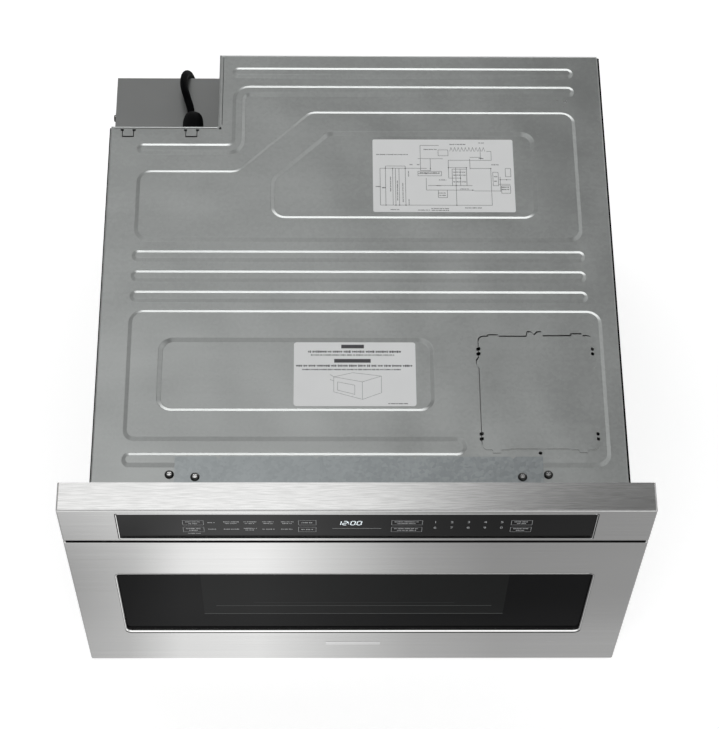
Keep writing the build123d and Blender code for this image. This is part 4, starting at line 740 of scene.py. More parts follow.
# seven-bar figures of the clock, leaning slightly, over the line at the display's lower edge
digit_bars = {"1": "bc", "2": "abged", "0": "abcdef"}
segment_ends = {
    "a": (0, 2, 1, 2), "b": (1, 2, 1, 1), "c": (1, 1, 1, 0), "d": (0, 0, 1, 0),
    "e": (0, 1, 0, 0), "f": (0, 2, 0, 1), "g": (0, 1, 1, 1),
}
clock = []
digit_width, half_height, clock_z, lean = 4.2, 4.3, 364.6, 0.12
bar_gap, bar_width, dot_half, dot_x = 0.55, 1.15, 0.6, -8.7
for figure, left in zip("1200", (-21.0, -14.6, -6.6, -0.2)):
    for letter in digit_bars[figure]:
        x0, z0, x1, z1 = segment_ends[letter]
        ax, az = left + x0 * digit_width, z0 * half_height
        bx, bz = left + x1 * digit_width, z1 * half_height
        run = Vector((bx - ax, bz - az)).normalized() * bar_gap
        ax, az, bx, bz = ax + run.x, az + run.y, bx - run.x, bz - run.y
        clock.append((ax + lean * az, clock_z + az, bx + lean * bz, clock_z + bz, bar_width))
for dot_z in (clock_z + 0.65 * half_height, clock_z + 1.35 * half_height):
    clock.append((dot_x, dot_z - dot_half, dot_x, dot_z + dot_half, 2 * dot_half))
clock_light = bars("clock_figures", clock, on_strip, ink_thickness, glow_ink)
line_stroke = (-25, 356.4, 25, 356.4, 0.5)
display_line = bars("display_line", [line_stroke], on_strip, ink_thickness, ink)

# number keys, 1 to 5 over 6 to 0, in a plain face
key_parts = bmesh.new()
for row_z, figures in ((363.8, "12345"), (350.8, "67890")):
    for key_x, figure in zip((80.0, 97.0, 114.0, 131.0, 148.0), figures):
        letter = bpy.data.curves.new("key_number", "FONT")
        letter.body = figure
        letter.size = 6.6 * millimetre
        letter.align_x = "CENTER"
        letter.resolution_u = 3
        letter.extrude = ink_thickness / 2
        holder = bpy.data.objects.new("key_number", letter)
        shape = bpy.data.meshes.new_from_object(holder)
        key_place = (key_x * millimetre, glass_face - ink_thickness / 2, row_z * millimetre)
        upright = Matrix.Rotation(math.pi / 2, 4, "X")
        shape.transform(Matrix.Translation(key_place) @ upright)
        key_parts.from_mesh(shape)
        bpy.data.objects.remove(holder)
key_mesh = bpy.data.meshes.new("key_numbers")
key_parts.to_mesh(key_mesh)
key_parts.free()
key_mesh.materials.append(ink)
for piece in (legends_print, display_line, added("key_numbers", key_mesh)):
    fit(piece, "cabinet", "label_paper")
fit(clock_light, "cabinet", "display_window")

# ---------------------------------------------------------------- galvanised sheet
# Zinc-coated steel, 0.8 mm, with fine crystals and faint streaks from rolling: base, walls,
# top cover, access plate and inner brackets. The recess pan's zinc is duller, and its darker
# colour is painted shade for the recess. Cut edges are brighter.
galvanised, at = finish("galvanised_sheet")
crystals = at.node("ShaderNodeTexVoronoi", {"feature": "F1"}, {"Vector": at, "Scale": 330.0}, 1)
cell = crystals.axes()[0]
clouds = at.noise(6.0, 3.0)
rolled = at.stretched(1, 60, 60).noise(2.5, 3.0)
zinc = (cell * 0.15 + clouds * 0.70 + rolled * 0.15).rise(0.3, 0.7)
waves = at.noise(1500.0, 2.0) * 0.003 + at.noise(9.0, 1.0)
shade(galvanised, metal, {
    "Base Color": zinc.tint((0.345, 0.357, 0.351), (0.405, 0.418, 0.412)),
    "Roughness": cell * 0.05 + clouds * 0.08 + 0.25,
}, waves, 0.0028)
paint(
    galvanised,
    "base_plate", "left_side_panel", "right_side_panel", "rear_panel",
    "cavity_supports", "motor_bracket", "switch_bracket", "waveguide",
)
dull_shaded_zinc = coat(
    "dull_shaded_recess_zinc", metal, (0.215, 0.220, 0.217), (0.275, 0.280, 0.277),
    (9.0, 3.0), (0.36, 0.1), relief=(1500.0, 2.0), depth=0.000008,
)
paint(dull_shaded_zinc, "cord_recess_pan")
cut_edge = coat(
    "cut_steel_edge", metal, (0.62, 0.62, 0.61), (0.80, 0.80, 0.79),
    (90.0, 2.0), (0.25, 0.2), stretch=(40, 40, 1),
)

# ---------------------------------------------------------------- pressed top cover
# One 0.8 mm galvanised sheet, pressed in a die: ribs and two raised fields with soft
# shoulders, a notch for the recess, tongues, screw holes and edges bent down.
top_low, top_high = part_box("top_cover")
top_left, top_front = top_low.x, top_low.y
top_right, top_rear = top_high.x, top_high.y
sheet = 0.0008
emboss = 0.0025
deck = top_high.z - emboss
recess_x, recess_y = top_left + 0.120, top_rear - 0.100
shoulder_outside, shoulder_inside = -0.0012, 0.0038
shoulder_bend = 0.14
shoulder_lean = 0.72
rib_height, rib_shoulder, rib_lean = 0.0017, 0.0034, 0.95
shoulder_stops = (0.0, 0.07, 0.14, 0.5, 0.86, 0.93, 1.0)


def outline(corners, inset):
    """Points of a closed line with rounded corners, moved inwards, and the way out at each."""
    line = []
    for k, (x, y, radius) in enumerate(corners):
        here = Vector((x, y))
        before = here - Vector(corners[k - 1][:2])
        after = Vector(corners[(k + 1) % len(corners)][:2]) - here
        first = Vector((-before.y, before.x)).normalized()
        last = Vector((-after.y, after.x)).normalized()
        cross = first.x * last.y - first.y * last.x
        sense = 1 if cross > 0 else -1
        centre = here + sense * radius * (first + last) / (1 + first.dot(last))
        start = math.atan2(first.y, first.x)
        sweep = math.atan2(cross, first.dot(last))
        for n in range(corner_steps + 1):
            angle = start + sweep * n / corner_steps
            inward = Vector((math.cos(angle), math.sin(angle)))
            line.append((centre - (sense * radius - inset) * inward, -inward))
    return line


class Skin:
    """Upper skin of a pressed sheet: its points, the way that each faces, and its faces."""

    def __init__(self):
        self.points, self.ways, self.faces = [], [], []

    def line(self, places, heights, lean):
        """A closed line of points; lean is the angle by which the sheet faces outwards there."""
        start = len(self.points)
        for (place, outward), z in zip(places, heights):
            self.points.append(Vector((place.x, place.y, z)))
            across = outward * math.sin(lean)
            self.ways.append(Vector((across.x, across.y, math.cos(lean))))
        return list(range(start, len(self.points)))

    def level(self, places, z, lean):
        """A closed line of points at one height."""
        return self.line(places, [z] * len(places), lean)

    def strip(self, outer, inner):
        """Quads between two lines with the same number of points."""
        for k, m in zip(range(len(outer)), [*range(1, len(outer)), 0]):
            self.faces.append((outer[k], outer[m], inner[m], inner[k]))

    def shoulder(self, corners, low, high, inside=shoulder_inside, lean=shoulder_lean):
        """Slope with rounded ends, from low outside the line to high inside; gives its edges.

        Its shading leans by the given share of its true angle.
        """
        width = inside - shoulder_outside
        steepest = 1 / (1 - shoulder_bend)
        lines = []
        for t in shoulder_stops:
            near = min(t, 1 - t, shoulder_bend)
            climb = steepest * (near * near / (2 * shoulder_bend) + min(t, 1 - t) - near)
            climb = climb if t <= 0.5 else 1 - climb
            slope = steepest * near / shoulder_bend * (high - low) / width
            places = outline(corners, shoulder_outside + width * t)
            z = low + (high - low) * climb
            lines.append(self.level(places, z, math.atan(slope) * lean))
        for outer, inner in zip(lines, lines[1:]):
            self.strip(outer, inner)
        return lines[0], lines[-1]

    def hole(self, corners, z):
        """Edge of a hole in flat sheet, or of a flat sheet."""
        return self.level(outline(corners, 0.0), z, 0.0)

    def fill(self, *lines):
        """Flat sheet inside the first line and outside the others."""
        used = [i for line in lines for i in line]
        flat = [self.points[i].xy for i in used]
        edges = []
        for line in lines:
            start = len(edges)
            edges += [(start + k, start + (k + 1) % len(line)) for k in range(len(line))]
        found, _, triangles, sources, _, _ = delaunay_2d_cdt(flat, edges, [], 0, 1e-7)
        for corners in triangles:
            middle = sum((found[c] for c in corners), Vector((0.0, 0.0))) / 3
            crossings = 0
            for a, b in edges:
                p, q = flat[a], flat[b]
                if (p.y > middle.y) != (q.y > middle.y):
                    crossings += middle.x < p.x + (middle.y - p.y) * (q.x - p.x) / (q.y - p.y)
            if crossings % 2:
                a, b, c = (found[i] for i in corners)
                upward = (b - a).x * (c - a).y - (b - a).y * (c - a).x > 0
                face = tuple(used[sources[i][0]] for i in corners)
                self.faces.append(face if upward else face[::-1])

    def build(self, name, thickness, sheet_finish, edge_finish):
        """Sheet of the given thickness under the skin, with its cut edges closed."""
        count = len(self.points)
        below = [p - w * thickness for p, w in zip(self.points, self.ways)]
        under = [tuple(i + count for i in face[::-1]) for face in self.faces]
        sides = {(a, b) for face in self.faces for a, b in zip(face, face[1:] + face[:1])}
        cuts = [(b, a, a + count, b + count) for a, b in sides if (b, a) not in sides]
        cuts.sort()
        mesh = bpy.data.meshes.new(name)
        mesh.from_pydata([*self.points, *below], [], [*self.faces, *under, *cuts])
        mesh.materials.append(sheet_finish)
        mesh.materials.append(edge_finish)
        ways = self.ways + [-w for w in self.ways]
        facing = []
        for face in mesh.polygons:
            face.use_smooth = True
            if face.index < 2 * len(self.faces):
                facing += [ways[i] for i in face.vertices]
            else:
                face.material_index = 1
                facing += [face.normal.copy()] * len(face.vertices)
        mesh.normals_split_custom_set(facing)
        return added(name, mesh)


def bar(x0, x1, y0, y1, radius):
    """Corners of an upright rectangle, anticlockwise."""
    return [(x0, y0, radius), (x1, y0, radius), (x1, y1, radius), (x0, y1, radius)]


def disc(x, y, radius):
    """Corners of a round hole."""
    reach = radius * 1.0001
    return bar(x - reach, x + reach, y - reach, y + reach, radius)


field_left, field_right = top_left + 0.0317, top_right - 0.0305
rib_width, rib_end, rib_pitch = 0.013, 0.0064, 0.02565
first_rib_y, rear_rib_y = top_front + 0.2248, top_rear - 0.0317
pad_corner = 0.015
skin = Skin()
deck_holes = []
ribs = []
for rib_left, rib_y in (
    (field_left, first_rib_y), (field_left, first_rib_y + rib_pitch),
    (field_left, first_rib_y + 2 * rib_pitch), (recess_x + 0.0158, rear_rib_y),
):
    ribs.append(bar(rib_left, field_right, rib_y, rib_y + rib_width, rib_end))

# the rib that steps down beside the recess: along the rear, down a leg, and left to its foot
step_x, step_y, foot_y = recess_x + 0.0167, top_rear - 0.0572, recess_y - 0.0375
ribs.append([
    (field_left, foot_y, rib_end),
    (step_x + rib_width, foot_y, 0.018),
    (step_x + rib_width, step_y, 0.006),
    (field_right, step_y, rib_end),
    (field_right, step_y + rib_width, rib_end),
    (step_x, step_y + rib_width, 0.018),
    (step_x, foot_y + rib_width, 0.006),
    (field_left, foot_y + rib_width, rib_end),
])
for rib in ribs:
    outer, inner = skin.shoulder(rib, deck, deck + rib_height, rib_shoulder, rib_lean)
    skin.fill(inner)
    deck_holes.append(outer)

# rear field, cut off beside the recess, with a sunk middle for the rear label
rear_y0, rear_y1 = top_rear - 0.2526, top_rear - 0.080
cut_x, cut_y = recess_x + 0.0225, recess_y - 0.0605
rear_x0, rear_x1 = top_left + 0.0329, top_right - 0.0315
rear_field = [
    (rear_x0, rear_y0, pad_corner),
    (rear_x1, rear_y0, pad_corner),
    (rear_x1, rear_y1, pad_corner),
    (cut_x + rear_y1 - cut_y, rear_y1, pad_corner),
    (cut_x, cut_y, pad_corner),
    (rear_x0, cut_y, pad_corner),
]
sunk_x0, sunk_x1 = recess_x + 0.0612, rear_x1 - 0.0476
sunk_y0, sunk_y1, sunk_cut_y = rear_y0 + 0.0292, rear_y1 - 0.0288, recess_y - 0.0715
rear_sunk = [
    (sunk_x0, sunk_y0, pad_corner),
    (sunk_x1, sunk_y0, pad_corner),
    (sunk_x1, sunk_y1, pad_corner),
    (sunk_x0 + sunk_y1 - sunk_cut_y, sunk_y1, pad_corner),
    (sunk_x0, sunk_cut_y, pad_corner),
]
outer, inner = skin.shoulder(rear_field, deck, deck + emboss)
deck_holes.append(outer)
brim, sunk = skin.shoulder(rear_sunk, deck + emboss, deck)
skin.fill(inner, brim)
skin.fill(sunk)

# front field with a channel along its front, a sunk middle, and the holes of the access plate
front_x1, front_y0, front_y1 = top_right - 0.0175, top_front + 0.027, top_front + 0.2136
channel_y0, channel_y1, channel_end = top_front + 0.0423, top_front + 0.0573, top_right - 0.1687
front_field = [
    (field_left, front_y0, 0.0072),
    (front_x1, front_y0, pad_corner),
    (front_x1, front_y1, pad_corner),
    (field_left, front_y1, pad_corner),
    (field_left, channel_y1, 0.011),
    (channel_end, channel_y1, 0.0074),
    (channel_end, channel_y0, 0.0074),
    (field_left, channel_y0, 0.0072),
]
sunk_front, sunk_rear = top_front + 0.0915, top_front + 0.1782
front_sunk = bar(field_left + 0.0333, top_right - 0.1982, sunk_front, sunk_rear, pad_corner)
outer, inner = skin.shoulder(front_field, deck, deck + emboss)
deck_holes.append(outer)
brim, sunk = skin.shoulder(front_sunk, deck + emboss, deck)
plate_low, plate_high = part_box("access_cover")
plate_left, plate_right = plate_low.x - 0.0022, plate_high.x + 0.0021
plate_front, plate_rear = plate_low.y + 0.0023, plate_high.y - 0.0087
notch_places = (-0.0150, -0.0209, -0.1165, -0.1224)
notch_radius = 0.0019
tab_corner, ear_corner, notch_corner = 0.0003, 0.001, 0.0012


def plate_line(shift, notch):
    """Corners of the access plate, or of its opening: tabs, side ears and round notches."""
    left, right, front, rear = plate_left, plate_right, plate_front, plate_rear
    shift_x, shift_y = shift
    line = [(left, front, 0.006)]
    for x, y in (
        (0.0100, 0), (0.0108, -0.0038), (0.0189, -0.0038), (0.0197, 0), (0.0287, 0),
        (0.0289, 0.0011), (0.0902, 0.0011), (0.0905, 0), (0.0994, 0), (0.1002, -0.0033),
        (0.1087, -0.0033), (0.1095, 0),
    ):
        line.append((left + x, front + y, tab_corner))
    line.append((right, front, 0.006))
    for edge, out, ear, places in (
        (right, 1, 0.002, notch_places[::-1]), (left, -1, -0.0025, notch_places),
    ):
        side = []
        for place in places:
            y = plate_rear + place - shift_y
            depth = edge + notch * out * notch_radius
            near, far = y - out * notch_radius, y + out * notch_radius
            side += [(edge, near, 0.0001), (depth, near, notch_corner)]
            side += [(depth, far, notch_corner), (edge, far, 0.0001)]
        ear_line = [
            (edge, rear - 0.0385, ear_corner), (edge + ear, rear - 0.0350, ear_corner),
            (edge + ear, rear - 0.0298, ear_corner), (edge, rear - 0.0260, ear_corner),
        ]
        side[8:8] = ear_line[::out]
        line += side
        if out > 0:
            line.append((right, rear + 0.0006, 0.005))
            for x, y in (
                (0.1111, 0.0006), (0.1106, 0.0028), (0.0991, 0.0028), (0.0986, 0.0006),
                (0.0688, 0.0003), (0.0678, 0.0052), (0.0632, 0.0052), (0.0599, 0.0017),
                (0.0566, 0.0052), (0.0524, 0.0052), (0.0514, -0.0003), (0.0220, -0.0003),
                (0.0216, 0.0014), (0.0106, 0.0014), (0.0102, -0.0003),
            ):
                line.append((left + x, rear + y, tab_corner))
            line.append((left, rear - 0.0003, 0.006))
    return [(x + shift_x, y + shift_y, radius) for x, y, radius in line]


opening_shift = (-0.0006, 0.0019)
field_holes = [
    skin.hole(plate_line(opening_shift, 1), deck + emboss),
    skin.hole(disc(plate_left + 0.0598, plate_front - 0.0037, 0.0019), deck + emboss),
]
skin.fill(inner, brim, *field_holes)
skin.fill(sunk)

# tongues beside the recess: a narrow cut around each, with wider ends, and its tip bent up
tongue_y, tongue_tip, tongue_lift = recess_y - 0.0095, 0.0044, 0.0011
same_line = 0.0003
half_cut = [(0.0058, -tongue_tip), (0.0058, 0.003), (0.0049, 0.003), (0.0049, 0.0055)]
half_rim = [(0.0084, 0.0055), (0.0084, 0.003), (0.0067, 0.003), (0.0067, -0.0053)]
for tongue_x in (top_left + 0.0198, recess_x - 0.0294):
    right_half = half_cut + half_rim
    left_half = [(-x, y) for x, y in reversed(right_half)]
    corners = [(tongue_x + x, tongue_y + y, 0.0001) for x, y in left_half + right_half]
    cut = skin.hole(corners[::-1], deck)
    for i in cut:
        x, y, z = skin.points[i]
        if abs(y - tongue_y + tongue_tip) < same_line:
            skin.points[i] = Vector((x, y, z + tongue_lift))
    deck_holes.append(cut)

# screw holes, the relief hole at the recess's corner, and the two seams where the recess
# pan's flanges meet the cover
screw_places = [
    (x, top_front + y)
    for x, y in ((-0.192, 0.0179), (0.1967, 0.0179), (-0.1654, 0.0133), (0.1696, 0.0133))
]
for hole in (
    *(disc(x, y, 0.002) for x, y in screw_places),
    disc(recess_x + 0.0026, recess_y - 0.0026, 0.0016),
    bar(recess_x + 0.0042, recess_x + 0.0048, recess_y + 0.002, top_rear - 0.003, 0.0002),
    bar(top_left + 0.004, recess_x - 0.001, recess_y - 0.0031, recess_y - 0.0026, 0.0002),
):
    deck_holes.append(skin.hole(hole, deck))

# outer edge: bent down all round, and drawn down to a flange over the two side walls
bend, lip_depth, flange = 0.0020, 0.0004, 0.012
top_corners = [
    (top_left, top_front, 0.0025), (top_right, top_front, 0.0025), (top_right, top_rear, 0.003),
    (recess_x, top_rear, 0.003), (recess_x, recess_y, 0.001), (top_left, recess_y, 0.003),
]
edge_lines = []
for lean in (0, 15, 30, 45, 60, 75, 90):
    lean = math.radians(lean)
    places = outline(top_corners, bend * (1 - math.sin(lean)))
    edge_lines.append(skin.level(places, deck - bend * (1 - math.cos(lean)), lean))
edge_feet = []
for place, _ in places:
    over_wall = min(abs(place.x - top_left), abs(place.x - top_right)) < same_line
    edge_feet.append(deck - flange if over_wall else deck - bend - lip_depth)
edge_lines.append(skin.line(places, edge_feet, lean))
for inner, outer in zip(edge_lines, edge_lines[1:]):
    skin.strip(outer, inner)
skin.fill(edge_lines[0], *deck_holes)
top_sheet = skin.build("pressed_top", sheet, galvanised, cut_edge)
fit(top_sheet, "cabinet", "galvanised_steel", "top_cover")

# Black strips along both long edges of the cover, between it and the cabinet's opening:
# painted shade for the dark line at the cover's edges.
shade_strip_foot, shade_strip_top = deck - 0.0045, deck - 0.0014
for name, side_x, out, rear_end in (
    ("side_shade_strip_left", top_left, -0.0008, recess_y),
    ("side_shade_strip_right", top_right, 0.0016, top_rear),
):
    back_x, out_x = side_x - math.copysign(0.0006, out), side_x + out
    section = [(back_x, shade_strip_foot), (out_x, shade_strip_foot)]
    section += [(out_x, shade_strip_top), (back_x, shade_strip_top + 0.0004)]
    rings = [[(x, y, z) for x, z in section] for y in (top_front + 0.002, rear_end - 0.002)]
    fit(swept(name, rings, shade_strip_finish), "cabinet", "black_plastic")

# The access plate lies over its opening in the front field, flat and 0.8 mm thick, with tabs
# that hook under the sheet; its edges stay a little clear of the opening's.
plate = Skin()
plate.fill(plate.hole(plate_line((0, 0), -1), plate_high.z))
access_plate = plate.build("access_plate", sheet, galvanised, cut_edge)
fit(access_plate, "cabinet", "galvanised_steel", "access_cover")

# ---------------------------------------------------------------- bracket and screws
# The control panel's bracket is hot-dip galvanised, with the large bluish crystals of thick
# zinc. The case screws are bright zinc-plated pan heads with crossed slots.
spangled, at = finish("spangled_zinc")
warped = at.noise(90.0, 2.0, 0.6)
warp_reach = 0.006
drift = warped.node("ShaderNodeVectorMath", {"operation": "MULTIPLY_ADD"}, {
    0: warped, 1: (warp_reach, warp_reach, warp_reach), 2: at,
})
flakes = drift.node("ShaderNodeTexVoronoi", {"feature": "F1"}, {"Vector": drift, "Scale": 280.0}, 1)
flake = flakes.axes()[0]
mottle = (flake * 0.40 + at.noise(26.0, 3.0) * 0.60).rise(0.2, 0.8)
shade(spangled, metal, {
    "Base Color": mottle.tint((0.275, 0.296, 0.302), (0.350, 0.374, 0.381)),
    "Roughness": flake * 0.05 + 0.28,
}, flake, 0.00001)
paint(spangled, "control_support_bracket")
bright_zinc = coat(
    "bright_zinc_screw", metal, (0.46, 0.46, 0.455), (0.62, 0.62, 0.615), (900.0, 2.0), (0.10, 0.06)
)
paint(bright_zinc, "case_screws")
# dark copy of the zinc on the heads' flanks: painted shade around each head
shaded_flank_zinc = coat(
    "shaded_zinc_flank", metal, (0.045, 0.045, 0.044), (0.085, 0.085, 0.083),
    (1100.0, 2.0), (0.25, 0.1),
)
case_screws = nodes["case_screws"].data
case_screws.materials.append(shaded_flank_zinc)
flat_enough = 0.975
for face in case_screws.polygons:
    if abs(face.normal.z) < flat_enough:
        face.material_index = 1

# The four heads on top are domed: a rounded shoulder around the bright crossed drive, painted
# dark as shade around each head.
head_reach, dome_sides = 0.004, 32
dome_section = [
    (0.0023, -0.0004), (0.0023, 0.0002), (0.0030, 0.0001), (0.0038, -0.0004),
    (0.0044, -0.0011), (0.0048, -0.0019), (0.0048, -0.0021), (0.0040, -0.0021),
]
for number, screw_place in enumerate(screw_places, 1):
    screw = Vector(screw_place)
    head = max(v.co.z for v in case_screws.vertices if (v.co.xy - screw).length < head_reach)
    rings = []
    for n in range(dome_sides):
        angle = 2 * math.pi * n / dome_sides
        c, s = math.cos(angle), math.sin(angle)
        rings.append([(screw.x + r * c, screw.y + r * s, head + rise) for r, rise in dome_section])
    dome = swept(f"screw_dome_{number}", rings, shaded_flank_zinc, closed=True)
    fit(dome, "cabinet", "screw_steel")

# ---------------------------------------------------------------- labels
# Two printed film labels in the sunk middles of the top: a plain diagram with wordless
# captions at the rear, and a plain sheet of wordless lines with an outline box in front.
paper = coat(
    "label_film", {"Specular IOR Level": 0.15}, (0.86, 0.87, 0.87), (0.92, 0.93, 0.93),
    (30.0,), (0.45, 0.15), rough=(1200.0, 2.0),
)
paint(paper, "top_labels")
print_ink = ink_of("label_ink", 700.0, (0.045, 0.045, 0.05), (0.085, 0.085, 0.09), 0.55)
thin_ink = ink_of("label_thin_ink", 700.0, (0.10, 0.10, 0.105), (0.16, 0.16, 0.165), 0.55)
label_low, label_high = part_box("top_labels")
front_label_corner = (label_low.x, label_low.y + 0.077)
rear_label_corner = (label_high.x - 0.1566, label_high.y)


def on_label(corner):
    """Places on a label, in millimetres right of and below its rear left corner."""

    def place(x, y, rise):
        left, rear = corner
        return (left + x * millimetre, rear + y * millimetre, label_high.z - ink_sunk + rise)

    return place


front_print = []
for x, y, length, height in (
    (15, -11.5, 98, 2.6), (18, -15.6, 88, 1.5), (2.5, -28.6, 123, 2.4), (9, -33.2, 104, 1.6),
    (99, -74.0, 21, 1.4),
):
    front_print += greek(x, y, length, height)
front_print += [(50, -5.2, 74, -5.2, 4.4), (42.5, -22.6, 81, -22.6, 4.4)]
box_lines = [
    (42, -42, 72, -48), (72, -48, 92, -41), (92, -41, 62, -37), (62, -37, 42, -42),
    (42, -42, 42, -60), (72, -48, 72, -69), (92, -41, 92, -61), (42, -60, 72, -69),
    (72, -69, 92, -61), (46, -48, 64, -52), (64, -52, 64, -63), (64, -63, 46, -58),
    (46, -58, 46, -48), (38, -39, 42, -42), (38, -45, 42, -47),
]
front_thin = [(x0, y0, x1, y1, 0.3) for x0, y0, x1, y1 in box_lines]

# diagram: a row of columns, two rails, a block of contacts, coils, and captions
rear_print, rear_thin = [], []
wire, coil_wire, joint_half = 0.45, 0.35, 0.6
for x, top, foot in (
    (8, -39, -88), (14, -36, -88), (22, -39, -88), (25, -39, -88), (29, -39, -88), (36, -36, -88),
    (59, -52, -68), (53, -8, -42), (92, -38, -88), (97, -40, -62), (104, -38, -62), (108, -26, -40),
    (131, -39, -88), (84, -28, -52), (132, -16, -28), (120, -14, -27), (141, -50, -70),
    (64, -26, -42),
):
    rear_thin.append((x, foot, x, top, wire))
for y, left, right in (
    (-88, 8, 131), (-39, 8, 60), (-36, 14, 36), (-8, 53, 74), (-26, 50, 78), (-42, 53, 64),
    (-28, 84, 132), (-38, 84, 104), (-39, 108, 131), (-52, 84, 97), (-62, 61, 110), (-68, 59, 112),
    (-69, 112, 141), (-16, 127, 132), (-24, 108, 120), (-46, 50, 74), (-54, 141, 153),
    (-60, 139, 152),
):
    rear_thin.append((left, y, right, y, wire))
for x0, x1, y0, y1 in (
    (73, 84, -22, -14), (88, 104, -62, -40), (50, 76, -49, -43), (72, 82, -78, -68),
    (133, 139, -62, -44), (142, 152, -72, -62), (147, 153, -50, -39),
):
    rear_thin += frame_of(x0, x1, y0, y1, wire)
for x in range(86, 123, 4):
    rear_thin.append((x, -16, x + 1.6, -10.5, coil_wire))
    rear_thin.append((x + 1.6, -10.5, x + 3.2, -16, coil_wire))
for x, y in (
    (14, -39), (22, -39), (25, -88), (29, -88), (36, -39), (14, -88), (92, -88), (59, -46),
    (64, -39), (92, -62), (97, -52), (104, -38), (84, -38), (110, -68), (141, -54), (36, -88),
    (148, -54), (131, -39),
):
    rear_print.append((x - joint_half, y, x + joint_half, y, 2 * joint_half))
for x, y, length, height in (
    (4, -20.5, 36, 1.2), (57, -13.5, 15, 1.2), (86, -6.5, 18, 1.2), (118, -4.5, 7, 1.0),
    (132, -34, 8, 1.2), (19, -94, 10, 1.1), (49, -94.5, 14, 1.1), (64, -92.5, 20, 1.1),
    (64, -94.8, 20, 1.1), (101, -91.5, 19, 1.2), (73, -54.5, 9, 1.0), (118, -25.5, 6, 1.2),
    (70, -62, 6, 1.0), (96, -66.5, 10, 1.0), (3, -63.5, 6, 1.4), (10, -65, 4, 1.4),
    (41, -34, 4, 1.6), (49, -34, 4, 1.6), (142, -64, 9, 1.3), (142, -67, 9, 1.3),
    (52, -45, 22, 1.1), (89, -44, 14, 1.2), (89, -48, 14, 1.2), (89, -57, 14, 1.2),
    (73, -75, 8, 1.1), (72, -72, 8, 1.1), (134, -50, 4, 1.1), (134, -56, 4, 1.1),
):
    rear_print += greek(x, y, length, height)
for x, y0, y1 in (
    (19.5, -70, -50), (27, -82, -55), (33, -84, -58), (39.5, -50, -42), (39.5, -88, -80),
):
    turned_text = greek(y0, x, y1 - y0, 1.1)
    rear_thin += [(c, a, c, b, width) for a, c, b, _, width in turned_text]
for name, strokes, corner, material in (
    ("front_label_print", front_print, front_label_corner, print_ink),
    ("front_label_drawing", front_thin, front_label_corner, thin_ink),
    ("rear_label_print", rear_print, rear_label_corner, print_ink),
    ("rear_label_drawing", rear_thin, rear_label_corner, thin_ink),
):
    printed = bars(name, strokes, on_label(corner), ink_thickness, material)
    fit(printed, "cabinet", "label_paper")

# ---------------------------------------------------------------- front frame and cavity
# The frame behind the panels is zinc-plated steel. The welded cavity, the basket that slides
# in it and the drawer's inner panel are satin stainless, with a bead-blasted look.
plated = coat(
    "zinc_plated_frame", metal, (0.42, 0.43, 0.43), (0.54, 0.55, 0.55),
    (40.0, 3.0), (0.28, 0.15), relief=(1600.0,), depth=0.000008,
)
paint(plated, "front_frame")
satin, at = finish("satin_stainless")
rubbed = at.stretched(8, 500, 500).noise(3.0, 2.0)
shade(satin, metal, {
    "Base Color": (rubbed * 0.5 + at.noise(5.0) * 0.5).tint((0.50, 0.50, 0.49), (0.64, 0.64, 0.63)),
    "Roughness": rubbed * 0.15 + 0.30,
}, rubbed, 0.000006)
paint(satin, "oven_cavity", "drawer_basket", "door_inner_panel")

# Glass tray in the basket: clear tempered glass, 4 mm, faintly green at its edge.
tray_glass = coat(
    "tray_glass", {"IOR": 1.5, "Transmission Weight": 1.0}, (0.86, 0.92, 0.90), (0.92, 0.96, 0.95),
    (12.0,), (0.01, 0.05), rough=(500.0, 2.0), relief=(700.0,), depth=0.00001,
)
paint(tray_glass, "glass_tray")

# Stirrer cover in the cavity's roof: moulded off-white plastic that microwaves pass through.
natural = coat(
    "natural_plastic", {}, (0.70, 0.69, 0.65), (0.78, 0.77, 0.73),
    (25.0,), (0.35, 0.2), rough=(900.0, 2.0), relief=(1400.0,), depth=0.00002,
)
paint(natural, "stirrer_cover", "drive_rack", "drive_pinion", "switch_striker", "control_chassis")

# ---------------------------------------------------------------- slides and drive
# Three-part slides and the rails that carry the basket: cold-rolled steel, zinc-plated and
# drawn along their length, so the fine lines run front to back.
drawn = coat(
    "drawn_slide_steel", metal, (0.54, 0.55, 0.56), (0.70, 0.71, 0.72),
    (3.0, 2.0), (0.20, 0.15), depth=0.00001, stretch=(700, 5, 700),
)
paint(
    drawn,
    "slide_outer_members", "slide_middle_left", "slide_middle_right", "slide_inner_members",
    "carriage_rails",
)

# Motors: plated steel cans with dark moulded gear housings; stirrer blades and the
# magnetron's cooling fins are rolled aluminium.
can_steel = coat(
    "motor_can_steel", {"Metallic": 0.9}, (0.30, 0.30, 0.31), (0.44, 0.44, 0.45),
    (60.0, 3.0), (0.30, 0.2),
)
rolled_sheet = coat(
    "rolled_aluminium", metal, (0.66, 0.67, 0.68), (0.80, 0.81, 0.82),
    (2.0, 2.0), (0.25, 0.15), depth=0.000008, stretch=(500, 6, 500),
)


def two_tone(name, first, second, is_second):
    """Give a CAD node one finish, and another where is_second holds for a face's middle."""
    paint(first, name)
    mesh = nodes[name].data
    mesh.materials.append(second)
    for face in mesh.polygons:
        if is_second(face.center):
            face.material_index = 1


gears_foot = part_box("drive_motor")[0].z + 0.024
two_tone("drive_motor", can_steel, moulded, lambda c: c.z > gears_foot)
shaft_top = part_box("stirrer_motor")[0].z + 0.002
two_tone("stirrer_motor", can_steel, bright_zinc, lambda c: c.z < shaft_top)
paint(can_steel, "cooling_fan_motor")
paint(rolled_sheet, "stirrer_fan")
tube_low, tube_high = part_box("magnetron")
tube_middle = (tube_low + tube_high) / 2
fins_x, fins_z = 0.038, 0.032
two_tone(
    "magnetron", can_steel, rolled_sheet,
    lambda c: abs(c.x - tube_middle.x) < fins_x and abs(c.z - tube_middle.z) < fins_z,
)

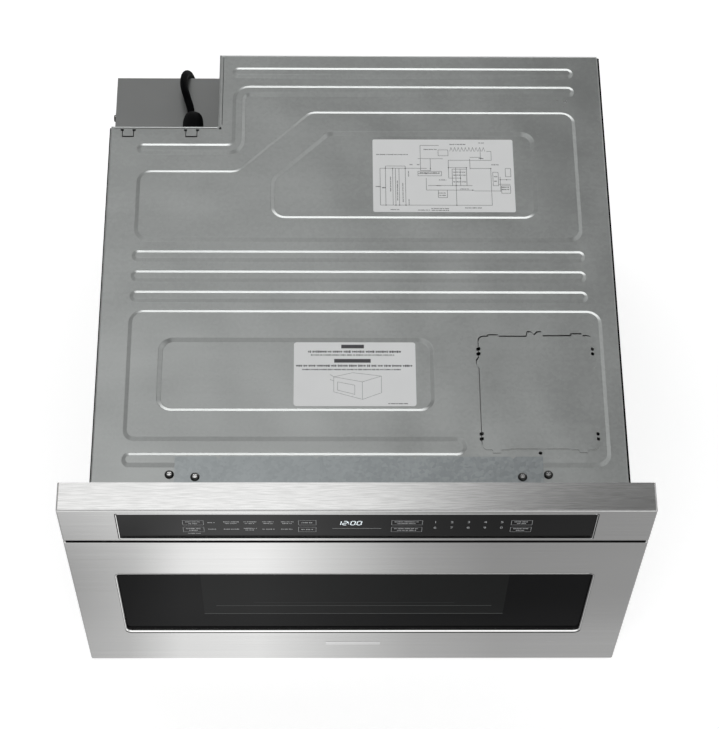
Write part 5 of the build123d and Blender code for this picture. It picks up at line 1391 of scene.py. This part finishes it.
# ---------------------------------------------------------------- power parts
# Transformer: varnished iron laminations with two enamelled copper windings; capacitor: an
# oval aluminium can with terminals in its lid; fan: black moulded housing and wheel.
laminations = coat(
    "varnished_laminations", {"Metallic": 0.5}, (0.06, 0.06, 0.06), (0.16, 0.155, 0.15),
    (1.0, 1.0), (0.40, 0.2), depth=0.0001, stretch=(0, 1800, 0),
)
enamel = coat(
    "enamelled_copper", {"Metallic": 0.7}, (0.30, 0.10, 0.035), (0.55, 0.22, 0.09),
    (1.0, 1.0), (0.25, 0.2), depth=0.0002, stretch=(0, 0, 1600),
)
core_low, core_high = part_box("hv_transformer")
core_y = (core_low.y + core_high.y) / 2
limb_half, yoke_top, yoke_foot = 0.0225, core_low.z + 0.012, core_high.z - 0.016
two_tone(
    "hv_transformer", laminations, enamel,
    lambda c: yoke_top < c.z < yoke_foot and abs(c.y - core_y) > limb_half,
)
lid_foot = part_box("hv_capacitor")[1].z - 0.0078
two_tone("hv_capacitor", rolled_sheet, moulded, lambda c: c.z > lid_foot)
paint(moulded, "cooling_fan_housing", "fan_impeller", "interlock_switch")
red_nylon = coat(
    "red_plunger", {}, (0.42, 0.03, 0.025), (0.55, 0.05, 0.04), (300.0,), (0.3, 0.2), rough=(900.0,)
)
paint(red_nylon, "switch_plunger")

# ---------------------------------------------------------------- circuit boards and lamps
# Boards are green lacquered laminate with dark moulded parts on them. The display is a
# smoked plastic block; the lamps are clear bulbs in plated boxes on the cavity's roof.
lacquer, at = finish("green_lacquer")
tracks = at.node(
    "ShaderNodeTexBrick", {"offset": 0.5}, {"Vector": at, "Scale": 240.0, "Mortar Size": 0.08}, 1
)
greens = tracks * 0.6 + at.noise(300.0) * 0.4
shade(lacquer, {}, {
    "Base Color": greens.tint((0.02, 0.12, 0.05), (0.05, 0.23, 0.11)),
    "Roughness": at.noise(500.0) * 0.15 + 0.28,
}, tracks, 0.00005)
filter_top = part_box("noise_filter_board")[0].z + 0.0085
two_tone("noise_filter_board", lacquer, moulded, lambda c: c.z > filter_top)
board_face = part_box("control_board")[1].y - 0.0018
two_tone("control_board", lacquer, moulded, lambda c: c.y < board_face)
smoked = coat(
    "smoked_display", {}, (0.010, 0.012, 0.014), (0.020, 0.023, 0.026),
    (120.0,), (0.08, 0.1), rough=(600.0,),
)
paint(smoked, "display_module")
bulb_glass = coat(
    "bulb_glass", {"IOR": 1.45, "Transmission Weight": 0.8}, (0.86, 0.84, 0.76), (0.93, 0.91, 0.84),
    (120.0,), (0.04, 0.06), rough=(400.0,),
)
lamp_low, lamp_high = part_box("oven_lamp")
lamp_middle = (lamp_low + lamp_high) / 2
bulb_reach, cap_foot = 0.016, lamp_high.z - 0.002
two_tone(
    "oven_lamp", plated, bulb_glass,
    lambda c: (c.xy - lamp_middle.xy).length < bulb_reach and c.z < cap_foot,
)
